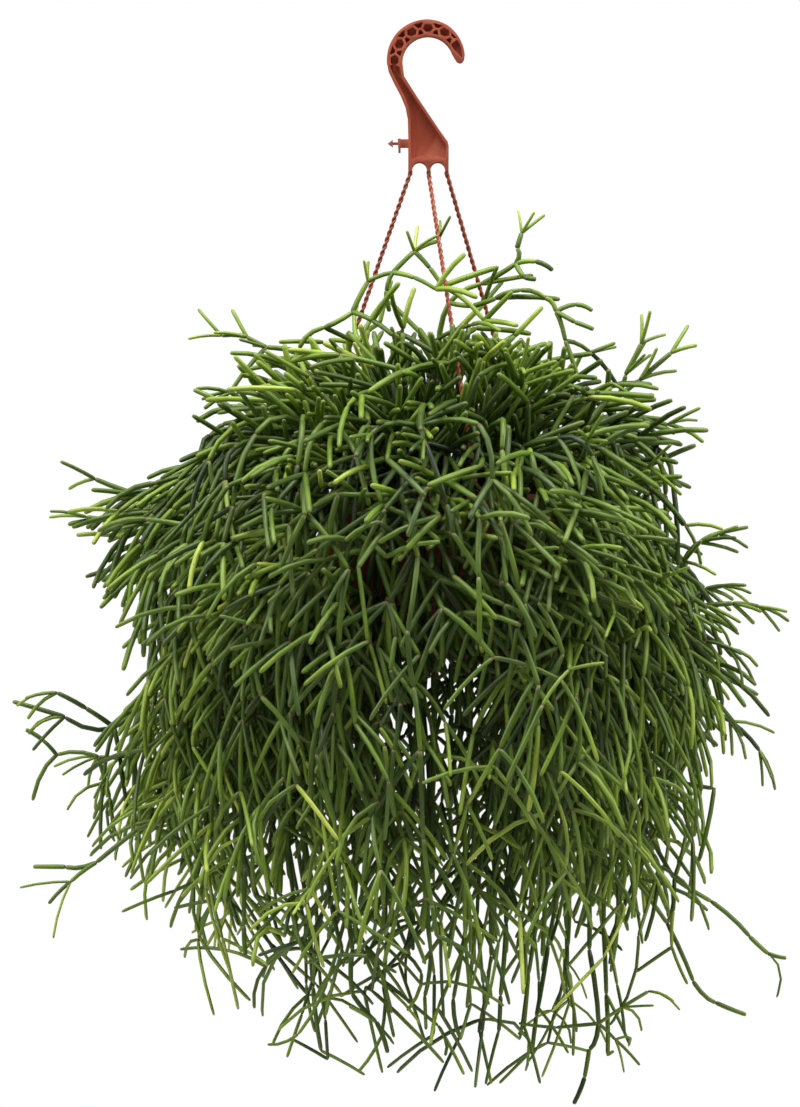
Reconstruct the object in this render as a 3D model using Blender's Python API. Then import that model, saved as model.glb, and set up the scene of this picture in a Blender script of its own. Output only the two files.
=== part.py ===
"""A potted rhipsalis in a hanging pot, in metres with +Z up.

The origin is the seat at the top of the hook's inside, where the whole thing hangs. +X is to
the right seen from the front, and +Y runs away from the front. A moulded hook carries three
strands, the strands carry a round pot by its rim, and the pot holds soil. Each branching
stem stands in a hole of its own in the soil, rises over the rim and hangs as a curtain.
"""

import math
import random

import bmesh
import bpy
import numpy as np
from mathutils import Vector

MM = 0.001

# Pot and soil
POT_AXIS_X = 6.5 * MM
RIM_TOP = -300 * MM
POT_HEIGHT = 105 * MM
POT_BASE = RIM_TOP - POT_HEIGHT
RIM_RADIUS = 85 * MM
BASE_RADIUS = 54 * MM
WALL = 1.8 * MM
LIP_WIDTH = 4 * MM
LIP_DROP = 8 * MM
POT_SIDES = 32
DRAIN_HOLES = 6
DRAIN_RADIUS = 4 * MM
SOIL_DEPTH = 45 * MM
SOIL_TOP = RIM_TOP - 12 * MM
FIT = 0.4 * MM

# Lugs on the rim that the strands snap into
LUG_AZIMUTHS = (164, -76, 44)
LUG_HALF_WIDTH = 6.5 * MM
LUG_THICKNESS = 3 * MM
LUG_HOLE_AT = 92.8 * MM
LUG_HOLE_RADIUS = 1.9 * MM

# Strands
STRAND_RADIUS = 1.4 * MM
STRAND_SIDES = 8
STRAND_TOPS = (-11.6 * MM, 0.45 * MM, 12.2 * MM)
STRAND_TOP_HEIGHT = -89.3 * MM
BARB_RADIUS = 3 * MM
BARB_LENGTH = 6 * MM

# Hook
HOOK_INNER_RADIUS = 16.7 * MM
HOOK_DEPTH = 8 * MM
HOOK_FLANGE = 1.7 * MM
HOOK_WEB = 2 * MM
HOOK_BASE = -88.5 * MM
ARCH_RADIUS = 4.8 * MM
ARCH_CENTRES = (-5.5 * MM, 6.4 * MM)
ARCH_HEIGHT = -87.2 * MM
HEX_ANGLES = (178, 149, 119, 90, 60)
HEX_HALF_LENGTH = 3.5 * MM
HEX_HALF_WIDTH = 2.6 * MM

# Stems
MAIN_SIDES = 4
TWIG_SIDES = 3
FACET_ROOM = 1.25
BASE_STEM_RADIUS = 2.4 * MM
TIP_STEM_RADIUS = 1.6 * MM
ROOT_DEPTH = 9 * MM
ROOT_SPACING = 9.5 * MM
STEM_GAP = 0.7 * MM
TRIES = 24
SHARE_STEP = 0.08
ROUTE_STEP = 2 * MM
ROUTE_REST = 6
MAIN_LENGTHS = (30, 48)
MAIN_JITTER = 4 * MM
JOINT_REACH = 3 * MM

# The outline of the stems in millimetres: height, and reach to the left and right of the pot's
# axis. Towards the front and back they reach a share of the mean of the two.
OUTLINE = (
    (-690, 80, 80), (-670, 118, 128), (-643, 136, 134), (-610, 178, 146), (-587, 212, 160),
    (-541, 232, 168), (-499, 220, 200), (-433, 215, 200), (-368, 220, 175), (-303, 226, 160),
    (-273, 164, 150), (-237, 150, 134), (-205, 110, 100), (-190, 55, 60),
)
OUTLINE_DEPTH = 1.0


def mm(*numbers):
    """Millimetres as an array in metres."""
    return np.array(numbers, float) * MM


def about_pot(azimuth, radius, height):
    """The point at this azimuth in degrees, radius from the pot's axis and height."""
    turn = math.radians(azimuth)
    return np.array((POT_AXIS_X + radius * math.cos(turn), radius * math.sin(turn), height))


def material(name, colour, roughness):
    made = bpy.data.materials.new(name)
    made.use_nodes = True
    shader = made.node_tree.nodes["Principled BSDF"]
    shader.inputs["Base Color"].default_value = (*colour, 1)
    shader.inputs["Roughness"].default_value = roughness
    shader.inputs["Metallic"].default_value = 0
    return made


def mesh_object(name, bm, surface=None, smooth=False):
    """A scene object from a bmesh, which is freed."""
    bmesh.ops.recalc_face_normals(bm, faces=bm.faces)
    mesh = bpy.data.meshes.new(name)
    bm.to_mesh(mesh)
    bm.free()
    if surface:
        mesh.materials.append(surface)
    if smooth:
        mesh.shade_smooth()
        mesh.set_sharp_from_angle(angle=math.radians(40))
    made = bpy.data.objects.new(name, mesh)
    bpy.context.scene.collection.objects.link(made)
    return made


def combine(target, others, operation):
    """Join the others to the target, or cut them from it, in one Boolean, and remove them."""
    helpers = bpy.data.collections.new("helpers")
    for other in others:
        helpers.objects.link(other)
    boolean = target.modifiers.new(operation.title(), "BOOLEAN")
    boolean.operation = operation
    boolean.operand_type = "COLLECTION"
    boolean.collection = helpers
    boolean.solver = "EXACT"
    bpy.context.view_layer.update()
    graph = bpy.context.evaluated_depsgraph_get()
    joined = bpy.data.meshes.new_from_object(target.evaluated_get(graph))
    target.modifiers.clear()
    target.data = joined
    for other in others:
        bpy.data.objects.remove(other)
    bpy.data.collections.remove(helpers)


def prism(name, outline, near, far):
    """A straight block between two depths along Y, from an outline of (x, z) points."""
    bm = bmesh.new()
    face = bm.faces.new([bm.verts.new((x, near, z)) for x, z in outline])
    grown = bmesh.ops.extrude_face_region(bm, geom=[face])["geom"]
    moved = [part for part in grown if isinstance(part, bmesh.types.BMVert)]
    bmesh.ops.translate(bm, verts=moved, vec=(0, far - near, 0))
    return mesh_object(name, bm)


def turned(name, profile, sides, surface=None):
    """A solid turned about the Z axis from a closed profile of (radius, height) points."""
    bm = bmesh.new()
    rings = []
    for radius, height in profile:
        if radius < 1e-6:
            rings.append([bm.verts.new((0, 0, height))] * sides)
            continue
        turns = [2 * math.pi * i / sides for i in range(sides)]
        rings.append([bm.verts.new((radius * math.cos(t), radius * math.sin(t), height))
                      for t in turns])
    for ring, after in zip(rings, rings[1:] + rings[:1]):
        for i in range(sides):
            j = (i + 1) % sides
            corners = list(dict.fromkeys((ring[i], ring[j], after[j], after[i])))
            if len(corners) > 2:
                bm.faces.new(corners)
    return mesh_object(name, bm, surface, smooth=True)


def tube(name, points, radii, sides, surface=None):
    """A closed tube along points, with its own radius at each."""
    bm = bmesh.new()
    points = [Vector(point) for point in points]
    along = [(b - a).normalized() for a, b in zip(points, points[1:])]
    side = along[0].orthogonal().normalized()
    rings = []
    for i, (point, radius) in enumerate(zip(points, radii)):
        before = along[max(i - 1, 0)]
        after = along[min(i, len(along) - 1)]
        heading = (before + after).normalized()
        side = (side - heading * side.dot(heading)).normalized()
        across = heading.cross(side)
        turns = [2 * math.pi * k / sides for k in range(sides)]
        rings.append([bm.verts.new(point + radius * (side * math.cos(t) + across * math.sin(t)))
                      for t in turns])
    for ring, after in zip(rings, rings[1:]):
        for k in range(sides):
            j = (k + 1) % sides
            bm.faces.new((ring[k], ring[j], after[j], after[k]))
    bm.faces.new(rings[0][::-1])
    bm.faces.new(rings[-1])
    return mesh_object(name, bm, surface)


# The hook


def arc(centre, radius, start, end, steps):
    """Points (x, z) along an arc between two angles in degrees."""
    turns = [math.radians(start + (end - start) * i / steps) for i in range(steps + 1)]
    return [(centre[0] + radius * math.cos(t), centre[1] + radius * math.sin(t)) for t in turns]


def hook_outer_radius(angle):
    """Radius of the hook's outer edge: full over the top and left, and less towards the tip."""
    angles = (-8, 30, 60, 90, 135, 180)
    radii = (23.6, 25.2, 26.8, 27.5, 27.6, 26.9)
    return float(np.interp(angle, angles, radii)) * MM


def hook_outline():
    """The hook seen from the front: its arc, the shank and the three legs over the strands."""
    centre = (0, -HOOK_INNER_RADIUS)
    outer = [(hook_outer_radius(a) * math.cos(math.radians(a)),
              centre[1] + hook_outer_radius(a) * math.sin(math.radians(a)))
             for a in range(10, 181, 10)]
    left = [(-25.7, -22.6), (-22.2, -30.1), (-17.8, -38.4), (-14.7, -45.9), (-13.2, -53.5),
            (-12.9, -65.2), (-12.9, -88.5)]
    right = [(13.4, -88.5), (13.5, -72.1), (12.8, -69), (6.7, -60.4), (-7.1, -39.8),
             (-15.6, -26.4)]
    arches = []
    for x in ARCH_CENTRES:
        lift = math.degrees(math.asin((HOOK_BASE - ARCH_HEIGHT) / ARCH_RADIUS))
        arches += arc((x, ARCH_HEIGHT), ARCH_RADIUS, 180 - lift, lift, 8)
    inner = arc(centre, HOOK_INNER_RADIUS, 190, 20, 16)
    tip = [(17.8, -14.6), (19, -16.4), (20.6, -17.2), (22.3, -16.8), (23.6, -15)]
    return (outer + [(x * MM, z * MM) for x, z in left] + arches
            + [(x * MM, z * MM) for x, z in right] + inner
            + [(x * MM, z * MM) for x, z in tip])


def hook_polar(angle, radius):
    turn = math.radians(angle)
    return radius * math.cos(turn), -HOOK_INNER_RADIUS + radius * math.sin(turn)


def honeycomb_cells():
    """Outlines of the hexagonal cells along the arc and of the small cells between them."""
    middle = HOOK_INNER_RADIUS + 5.2 * MM
    near = HOOK_INNER_RADIUS + HOOK_FLANGE
    cells = []
    for angle in HEX_ANGLES:
        length = math.degrees(HEX_HALF_LENGTH / middle)
        cells.append([hook_polar(angle + length * t, middle + HEX_HALF_WIDTH * w)
                      for t, w in ((1, 0), (0.5, 1), (-0.5, 1), (-1, 0), (-0.5, -1), (0.5, -1))])
    for angle in [(a + b) / 2 for a, b in zip(HEX_ANGLES, HEX_ANGLES[1:])] + [45]:
        far = hook_outer_radius(angle) - HOOK_FLANGE
        cells.append([hook_polar(angle + t, r) for t, r in
                      ((-7, far), (7, far), (2.5, middle + 0.7 * MM), (-2.5, middle + 0.7 * MM))])
        cells.append([hook_polar(angle + t, r) for t, r in
                      ((-6, near), (-2, middle - 0.7 * MM), (2, middle - 0.7 * MM), (6, near))])
    return cells


def hook_recesses():
    """Outlines of the honeycomb cells and of the plain recesses in the tip and the shank."""
    tip_near = HOOK_INNER_RADIUS + HOOK_FLANGE
    tip = [hook_polar(a, hook_outer_radius(a) - HOOK_FLANGE) for a in (6, 14, 22, 30, 37)]
    tip += [hook_polar(a, tip_near + 0.2 * MM) for a in (37, 24)]
    shank = [(-24.9, -19.2), (-24.1, -22.1), (-20.7, -29.3), (-16.2, -37.9), (-13.1, -45.4),
             (-11.5, -53.2), (-11.2, -65.2), (-11.2, -80.4), (-5.5, -78.6), (0.5, -79.8),
             (6.4, -78.6), (11.6, -80.4), (11.8, -72.6), (11.2, -70), (5.3, -61.4),
             (-8.5, -40.8), (-17.2, -27.3), (-18.5, -20.6), (-21.8, -18.4)]
    return honeycomb_cells() + [tip, [(x * MM, z * MM) for x, z in shank]]


def make_hook(surface):
    hook = prism("hook", hook_outline(), -HOOK_DEPTH / 2, HOOK_DEPTH / 2)
    cutters = []
    for cell in hook_recesses():
        for side in (-1, 1):
            cutters.append(prism("recess", cell, side * HOOK_WEB / 2, side * HOOK_DEPTH))
    combine(hook, cutters, "DIFFERENCE")
    clip = [prism("clip_block", [(-18 * MM, -67.3 * MM), (-12.6 * MM, -67.3 * MM),
                                 (-12.6 * MM, -72.6 * MM), (-18 * MM, -72.6 * MM)],
                  -2 * MM, 2 * MM),
            prism("clip_plate", [(-19.8 * MM, -66.9 * MM), (-17.9 * MM, -66.9 * MM),
                                 (-17.9 * MM, -75.8 * MM), (-19.3 * MM, -76 * MM)],
                  -2.5 * MM, 2.5 * MM),
            prism("clip_stem", [(-23.5 * MM, -69.2 * MM), (-19.6 * MM, -69.2 * MM),
                                (-19.6 * MM, -70.8 * MM), (-23.5 * MM, -70.8 * MM)],
                  -0.9 * MM, 0.9 * MM),
            prism("clip_barb", [(-26.2 * MM, -70 * MM), (-23 * MM, -67.6 * MM),
                                (-23 * MM, -72.4 * MM)], -1.6 * MM, 1.6 * MM)]
    combine(hook, clip, "UNION")
    hook.data.materials.clear()
    hook.data.materials.append(surface)
    return hook


# The pot, its lugs and the soil


def pot_radius(height):
    """Outer radius of the pot's wall at a height."""
    share = (height - POT_BASE) / POT_HEIGHT
    return BASE_RADIUS + (RIM_RADIUS - BASE_RADIUS) * share


def pot_profile():
    """The wall, the base with its raised middle, and the lip that turns down outside the rim."""
    lip = RIM_RADIUS + LIP_WIDTH
    return [(0, 5 * MM), (BASE_RADIUS - 12 * MM, 5 * MM), (BASE_RADIUS - 9 * MM, 0),
            (BASE_RADIUS, 0), (RIM_RADIUS - 4 * MM, POT_HEIGHT - 14 * MM),
            (RIM_RADIUS, POT_HEIGHT - 3 * MM), (lip - WALL, POT_HEIGHT - 3 * MM),
            (lip - WALL, POT_HEIGHT - LIP_DROP), (lip, POT_HEIGHT - LIP_DROP),
            (lip, POT_HEIGHT), (RIM_RADIUS - WALL, POT_HEIGHT),
            (RIM_RADIUS - 4 * MM - WALL, POT_HEIGHT - 14 * MM),
            (BASE_RADIUS - WALL, 2 * MM), (BASE_RADIUS - 7.5 * MM, 2 * MM),
            (BASE_RADIUS - 10.5 * MM, 7 * MM), (0, 7 * MM)]


def lug(azimuth):
    """A round-ended tab on the lip, still without its hole."""
    middle = LUG_HOLE_AT
    outline = [(LUG_HALF_WIDTH * math.sin(math.radians(a)),
                middle + 5.5 * MM * math.cos(math.radians(a))) for a in range(-90, 91, 22)]
    outline += [(LUG_HALF_WIDTH, RIM_RADIUS + 0.6 * MM), (-LUG_HALF_WIDTH, RIM_RADIUS + 0.6 * MM)]
    bm = bmesh.new()
    turn = math.radians(azimuth)
    top = POT_HEIGHT - 0.2 * MM
    face = bm.faces.new([bm.verts.new((r * math.cos(turn) - w * math.sin(turn),
                                       r * math.sin(turn) + w * math.cos(turn), top))
                         for w, r in outline])
    grown = bmesh.ops.extrude_face_region(bm, geom=[face])["geom"]
    moved = [part for part in grown if isinstance(part, bmesh.types.BMVert)]
    bmesh.ops.translate(bm, verts=moved, vec=(0, 0, -LUG_THICKNESS))
    return mesh_object("lug", bm)


def upright_rod(x, y, bottom, top, radius, sides):
    """A straight upright cylinder, used to cut a hole."""
    return tube("rod", [(x, y, bottom), (x, y, top)], [radius] * 2, sides)


def make_pot(surface):
    pot = turned("pot", pot_profile(), POT_SIDES)
    combine(pot, [lug(azimuth) for azimuth in LUG_AZIMUTHS], "UNION")
    holes = []
    for azimuth in LUG_AZIMUTHS:
        turn = math.radians(azimuth)
        holes.append(upright_rod(LUG_HOLE_AT * math.cos(turn), LUG_HOLE_AT * math.sin(turn),
                                 POT_HEIGHT - 20 * MM, POT_HEIGHT + 10 * MM,
                                 LUG_HOLE_RADIUS, 12))
    for i in range(DRAIN_HOLES):
        turn = 2 * math.pi * (i + 0.5) / DRAIN_HOLES
        reach = BASE_RADIUS * 0.5
        holes.append(upright_rod(reach * math.cos(turn), reach * math.sin(turn),
                                 -5 * MM, 20 * MM, DRAIN_RADIUS, 10))
    combine(pot, holes, "DIFFERENCE")
    pot.data.materials.clear()
    pot.data.materials.append(surface)
    pot.data.shade_smooth()
    pot.data.set_sharp_from_angle(angle=math.radians(30))
    pot.location = (POT_AXIS_X, 0, POT_BASE)
    return pot


def make_soil(surface, roots):
    """The soil fills the pot up to just under the rim, with a hole for each stem."""
    bottom = SOIL_TOP - SOIL_DEPTH
    edge = [(0, 0), (pot_radius(bottom) - WALL - FIT - 0.6 * MM, 0),
            (pot_radius(SOIL_TOP) - WALL - FIT - 0.8 * MM, SOIL_DEPTH),
            (0, SOIL_DEPTH + 1.5 * MM)]
    soil = turned("soil", edge, POT_SIDES)
    holes = [upright_rod(x - POT_AXIS_X, y, SOIL_DEPTH - ROOT_DEPTH - FIT, SOIL_DEPTH + 9 * MM,
                         (BASE_STEM_RADIUS * FACET_ROOM + FIT) * 1.24, 5)
             for x, y in roots]
    combine(soil, holes, "DIFFERENCE")
    soil.data.materials.clear()
    soil.data.materials.append(surface)
    soil.location = (POT_AXIS_X, 0, bottom)
    return soil


# The strands


def strand_path(index):
    """A strand's points: straight from the hook to above its lug, then down through the hole."""
    lug_point = about_pot(LUG_AZIMUTHS[index], LUG_HOLE_AT, RIM_TOP)
    top = np.array((STRAND_TOPS[index], 0, STRAND_TOP_HEIGHT))
    return [top, lug_point + mm(0, 0, 9), lug_point + mm(0, 0, 5), lug_point - mm(0, 0, 4.2)]


def make_strand(index, surface):
    """The strand, with the barb that holds under the lug and the collar above it."""
    path = strand_path(index)
    strand = tube(f"strand_{index + 1}", path, [STRAND_RADIUS] * 4, STRAND_SIDES)
    under = path[-1] + mm(0, 0, 0.6)
    barb = tube("barb", [under, under - mm(0, 0, BARB_LENGTH / MM)],
                [BARB_RADIUS, 0.6 * MM], STRAND_SIDES)
    seat = about_pot(LUG_AZIMUTHS[index], LUG_HOLE_AT, RIM_TOP)
    collar = tube("collar", [seat + mm(0, 0, 0.2), seat + mm(0, 0, 2.2)],
                  [2.8 * MM] * 2, STRAND_SIDES)
    combine(strand, [barb, collar], "UNION")
    strand.data.materials.clear()
    strand.data.materials.append(surface)
    return strand


# Room for the stems


def outline_radius(azimuth, height):
    """How far the stems reach from the pot's axis at this azimuth and height."""
    heights, lefts, rights = zip(*OUTLINE)
    across = rights if math.cos(math.radians(azimuth)) > 0 else lefts
    wide = np.interp(height / MM, heights, across) * MM
    deep = OUTLINE_DEPTH * np.interp(height / MM, heights, np.add(lefts, rights) / 2) * MM
    turn = math.radians(azimuth)
    return 1 / math.hypot(math.cos(turn) / wide, math.sin(turn) / deep)


def inside_outline(point):
    x = point[0] - POT_AXIS_X
    azimuth = math.degrees(math.atan2(point[1], x))
    if not OUTLINE[0][0] < point[2] / MM < OUTLINE[-1][0]:
        return False
    return math.hypot(x, point[1]) < outline_radius(azimuth, point[2])


def segment_gaps(start, end, starts, ends):
    """Distance from the line between two points to each of many such lines."""
    along = end - start
    others = ends - starts
    apart = start - starts
    a = along @ along
    e = np.einsum("ij,ij->i", others, others) + 1e-12
    f = np.einsum("ij,ij->i", others, apart)
    c = apart @ along
    b = others @ along
    spread = a * e - b * b
    s = np.clip((b * f - c * e) / np.where(spread > 1e-14, spread, np.inf), 0, 1)
    t = np.clip((b * s + f) / e, 0, 1)
    s = np.clip((b * t - c) / a, 0, 1)
    offset = apart + s[:, None] * along - t[:, None] * others
    return np.sqrt(np.einsum("ij,ij->i", offset, offset))


class Thicket:
    """Every straight piece laid so far, so that the next one keeps clear of them."""

    def __init__(self, room=20000):
        self.starts = np.zeros((room, 3))
        self.ends = np.zeros((room, 3))
        self.radii = np.zeros(room)
        self.count = 0

    def add(self, start, end, radius):
        self.starts[self.count] = start
        self.ends[self.count] = end
        self.radii[self.count] = radius
        self.count += 1

    def add_run(self, points, radii):
        for start, end, radius in zip(points, points[1:], radii):
            self.add(start, end, radius)

    def is_clear(self, start, end, radius):
        """True where the piece clears the pot and all pieces that don't meet its start."""
        if not clear_of_pot(start, end, radius):
            return False
        starts = self.starts[: self.count]
        ends = self.ends[: self.count]
        meets = np.minimum(np.abs(starts - start).max(axis=1),
                           np.abs(ends - start).max(axis=1)) < 1e-6
        gaps = segment_gaps(start, end, starts, ends) - self.radii[: self.count] - radius
        return bool((gaps[~meets] > STEM_GAP).all())


def clear_of_pot(start, end, radius):
    """True where a piece stays off the pot's wall and lip, the soil and the space in the wall."""
    room = radius + STEM_GAP
    for share in np.linspace(0, 1, 8):
        x, y, z = start + (end - start) * share
        out = math.hypot(x - POT_AXIS_X, y)
        if z > RIM_TOP + room or z < POT_BASE - room:
            continue
        inside = out < RIM_RADIUS - 3.5 * MM - room and z > SOIL_TOP + room
        edge = RIM_RADIUS + LIP_WIDTH if z > RIM_TOP - LIP_DROP - room else pot_radius(z)
        if not inside and out < edge + room:
            return False
    return True


# The stems


def smooth_route(points, step):
    """Points a short step apart on a smooth curve through the given ones."""
    points = [2 * points[0] - points[1]] + list(points) + [2 * points[-1] - points[-2]]
    curve = []
    for a, b, c, d in zip(points, points[1:], points[2:], points[3:]):
        steps = max(int(np.linalg.norm(c - b) / step), 1)
        for i in range(steps):
            t = i / steps
            curve.append(0.5 * (2 * b + (c - a) * t + (2 * a - 5 * b + 4 * c - d) * t ** 2
                                + (3 * b - 3 * c + d - a) * t ** 3))
    curve.append(points[-2])
    return curve


def outward(point):
    """The level direction from the pot's axis to a point."""
    away = np.array((point[0] - POT_AXIS_X, point[1], 0))
    return away / (np.linalg.norm(away) + 1e-9)


def random_direction(draw):
    return np.array([draw.gauss(0, 1) for _ in range(3)]) / math.sqrt(3)


def lean(point):
    """The way that young stems turn: up on the dome, out at the sides, and down below."""
    height = np.interp(point[2] / MM, (-560, -420, -330, -250), (-0.7, -0.25, 0.15, 0.9))
    return outward(point) + np.array((0, 0, height))


def stem_radius(share):
    """Radius along a stem, from its base at 0 to its tip at 1."""
    return BASE_STEM_RADIUS + (TIP_STEM_RADIUS - BASE_STEM_RADIUS) * min(share, 1) ** 0.6


class Run:
    """One unbranched line of pieces, whose joints can carry further runs."""

    def __init__(self, points, share=0.0, share_step=SHARE_STEP):
        self.points = points
        self.shares = [share + share_step * i for i in range(len(points))]

    def radii(self):
        return [stem_radius(share) for share in self.shares]


def jointed_run(thicket, draw, route):
    """A main stem: straight pieces of random length along a route, each clear of the rest."""
    curve = smooth_route(route, ROUTE_STEP)
    points = [curve[0]]
    at = 0
    while at < len(curve) - ROUTE_REST:
        for attempt in range(TRIES):
            length = draw.uniform(*MAIN_LENGTHS) * MM
            target = min(at + int(length / ROUTE_STEP), len(curve) - 1)
            shift = random_direction(draw) * MAIN_JITTER * (1 + attempt / 8)
            point = curve[target] + shift
            radius = stem_radius(SHARE_STEP * len(points)) * FACET_ROOM
            if thicket.is_clear(points[-1], point, radius):
                break
        else:
            break
        thicket.add(points[-1], point, radius)
        points.append(point)
        at = target
    return Run(points)


def grow_twig(thicket, draw, joint, heading, share, pieces):
    """A side stem from a joint, of some pieces, or None where there is no room."""
    points = [joint]
    for _ in range(pieces):
        for attempt in range(TRIES):
            wild = 0.55 + attempt / 30
            if len(points) == 1:
                way = 0.6 * heading + 0.7 * lean(joint) * draw.random()
                way = way + random_direction(draw) * (wild + 0.35)
            else:
                way = heading + 0.22 * lean(joint) + random_direction(draw) * (wild - 0.2)
            way /= np.linalg.norm(way)
            if len(points) == 1 and way @ heading > 0.88:
                continue
            point = points[-1] + way * draw.uniform(*TWIG_LENGTHS) * MM
            radius = stem_radius(share + 0.1 * len(points)) * FACET_ROOM
            if inside_outline(point) and thicket.is_clear(points[-1], point, radius):
                break
        else:
            break
        thicket.add(points[-1], point, radius)
        points.append(point)
        heading = way
    return Run(points, share, 0.1) if len(points) > 1 else None


def add_twigs(thicket, draw, runs, parent, chance, at_end, first, pieces):
    """Side stems at the joints of a run, from the joint with this number on."""
    for i in range(first, len(parent.points)):
        before = parent.points[i] - parent.points[i - 1]
        heading = before / np.linalg.norm(before)
        at_tip = i == len(parent.points) - 1
        wanted = at_end if at_tip else int(chance + draw.random())
        for _ in range(wanted):
            count = 1 if at_tip else draw.randint(*pieces)
            twig = grow_twig(thicket, draw, parent.points[i], heading, parent.shares[i], count)
            if twig:
                runs.append(twig)


def make_stem(name, runs, surface):
    """All the runs of one stem as one solid, standing at its root in the soil."""
    root = Vector(runs[0].points[0])
    tubes = []
    for run in runs:
        points = [Vector(point) - root for point in run.points]
        radii = [radius * FACET_ROOM for radius in run.radii()]
        if tubes:
            radii[0] *= 0.75
        radii[-1] *= 0.7
        sides = TWIG_SIDES if tubes else MAIN_SIDES
        tubes.append(tube(name if not tubes else "twig", points, radii, sides))
    stem = tubes[0]
    if len(tubes) > 1:
        combine(stem, tubes[1:], "UNION")
    stem.data.materials.clear()
    stem.data.materials.append(surface)
    stem.location = root
    return stem


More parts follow.
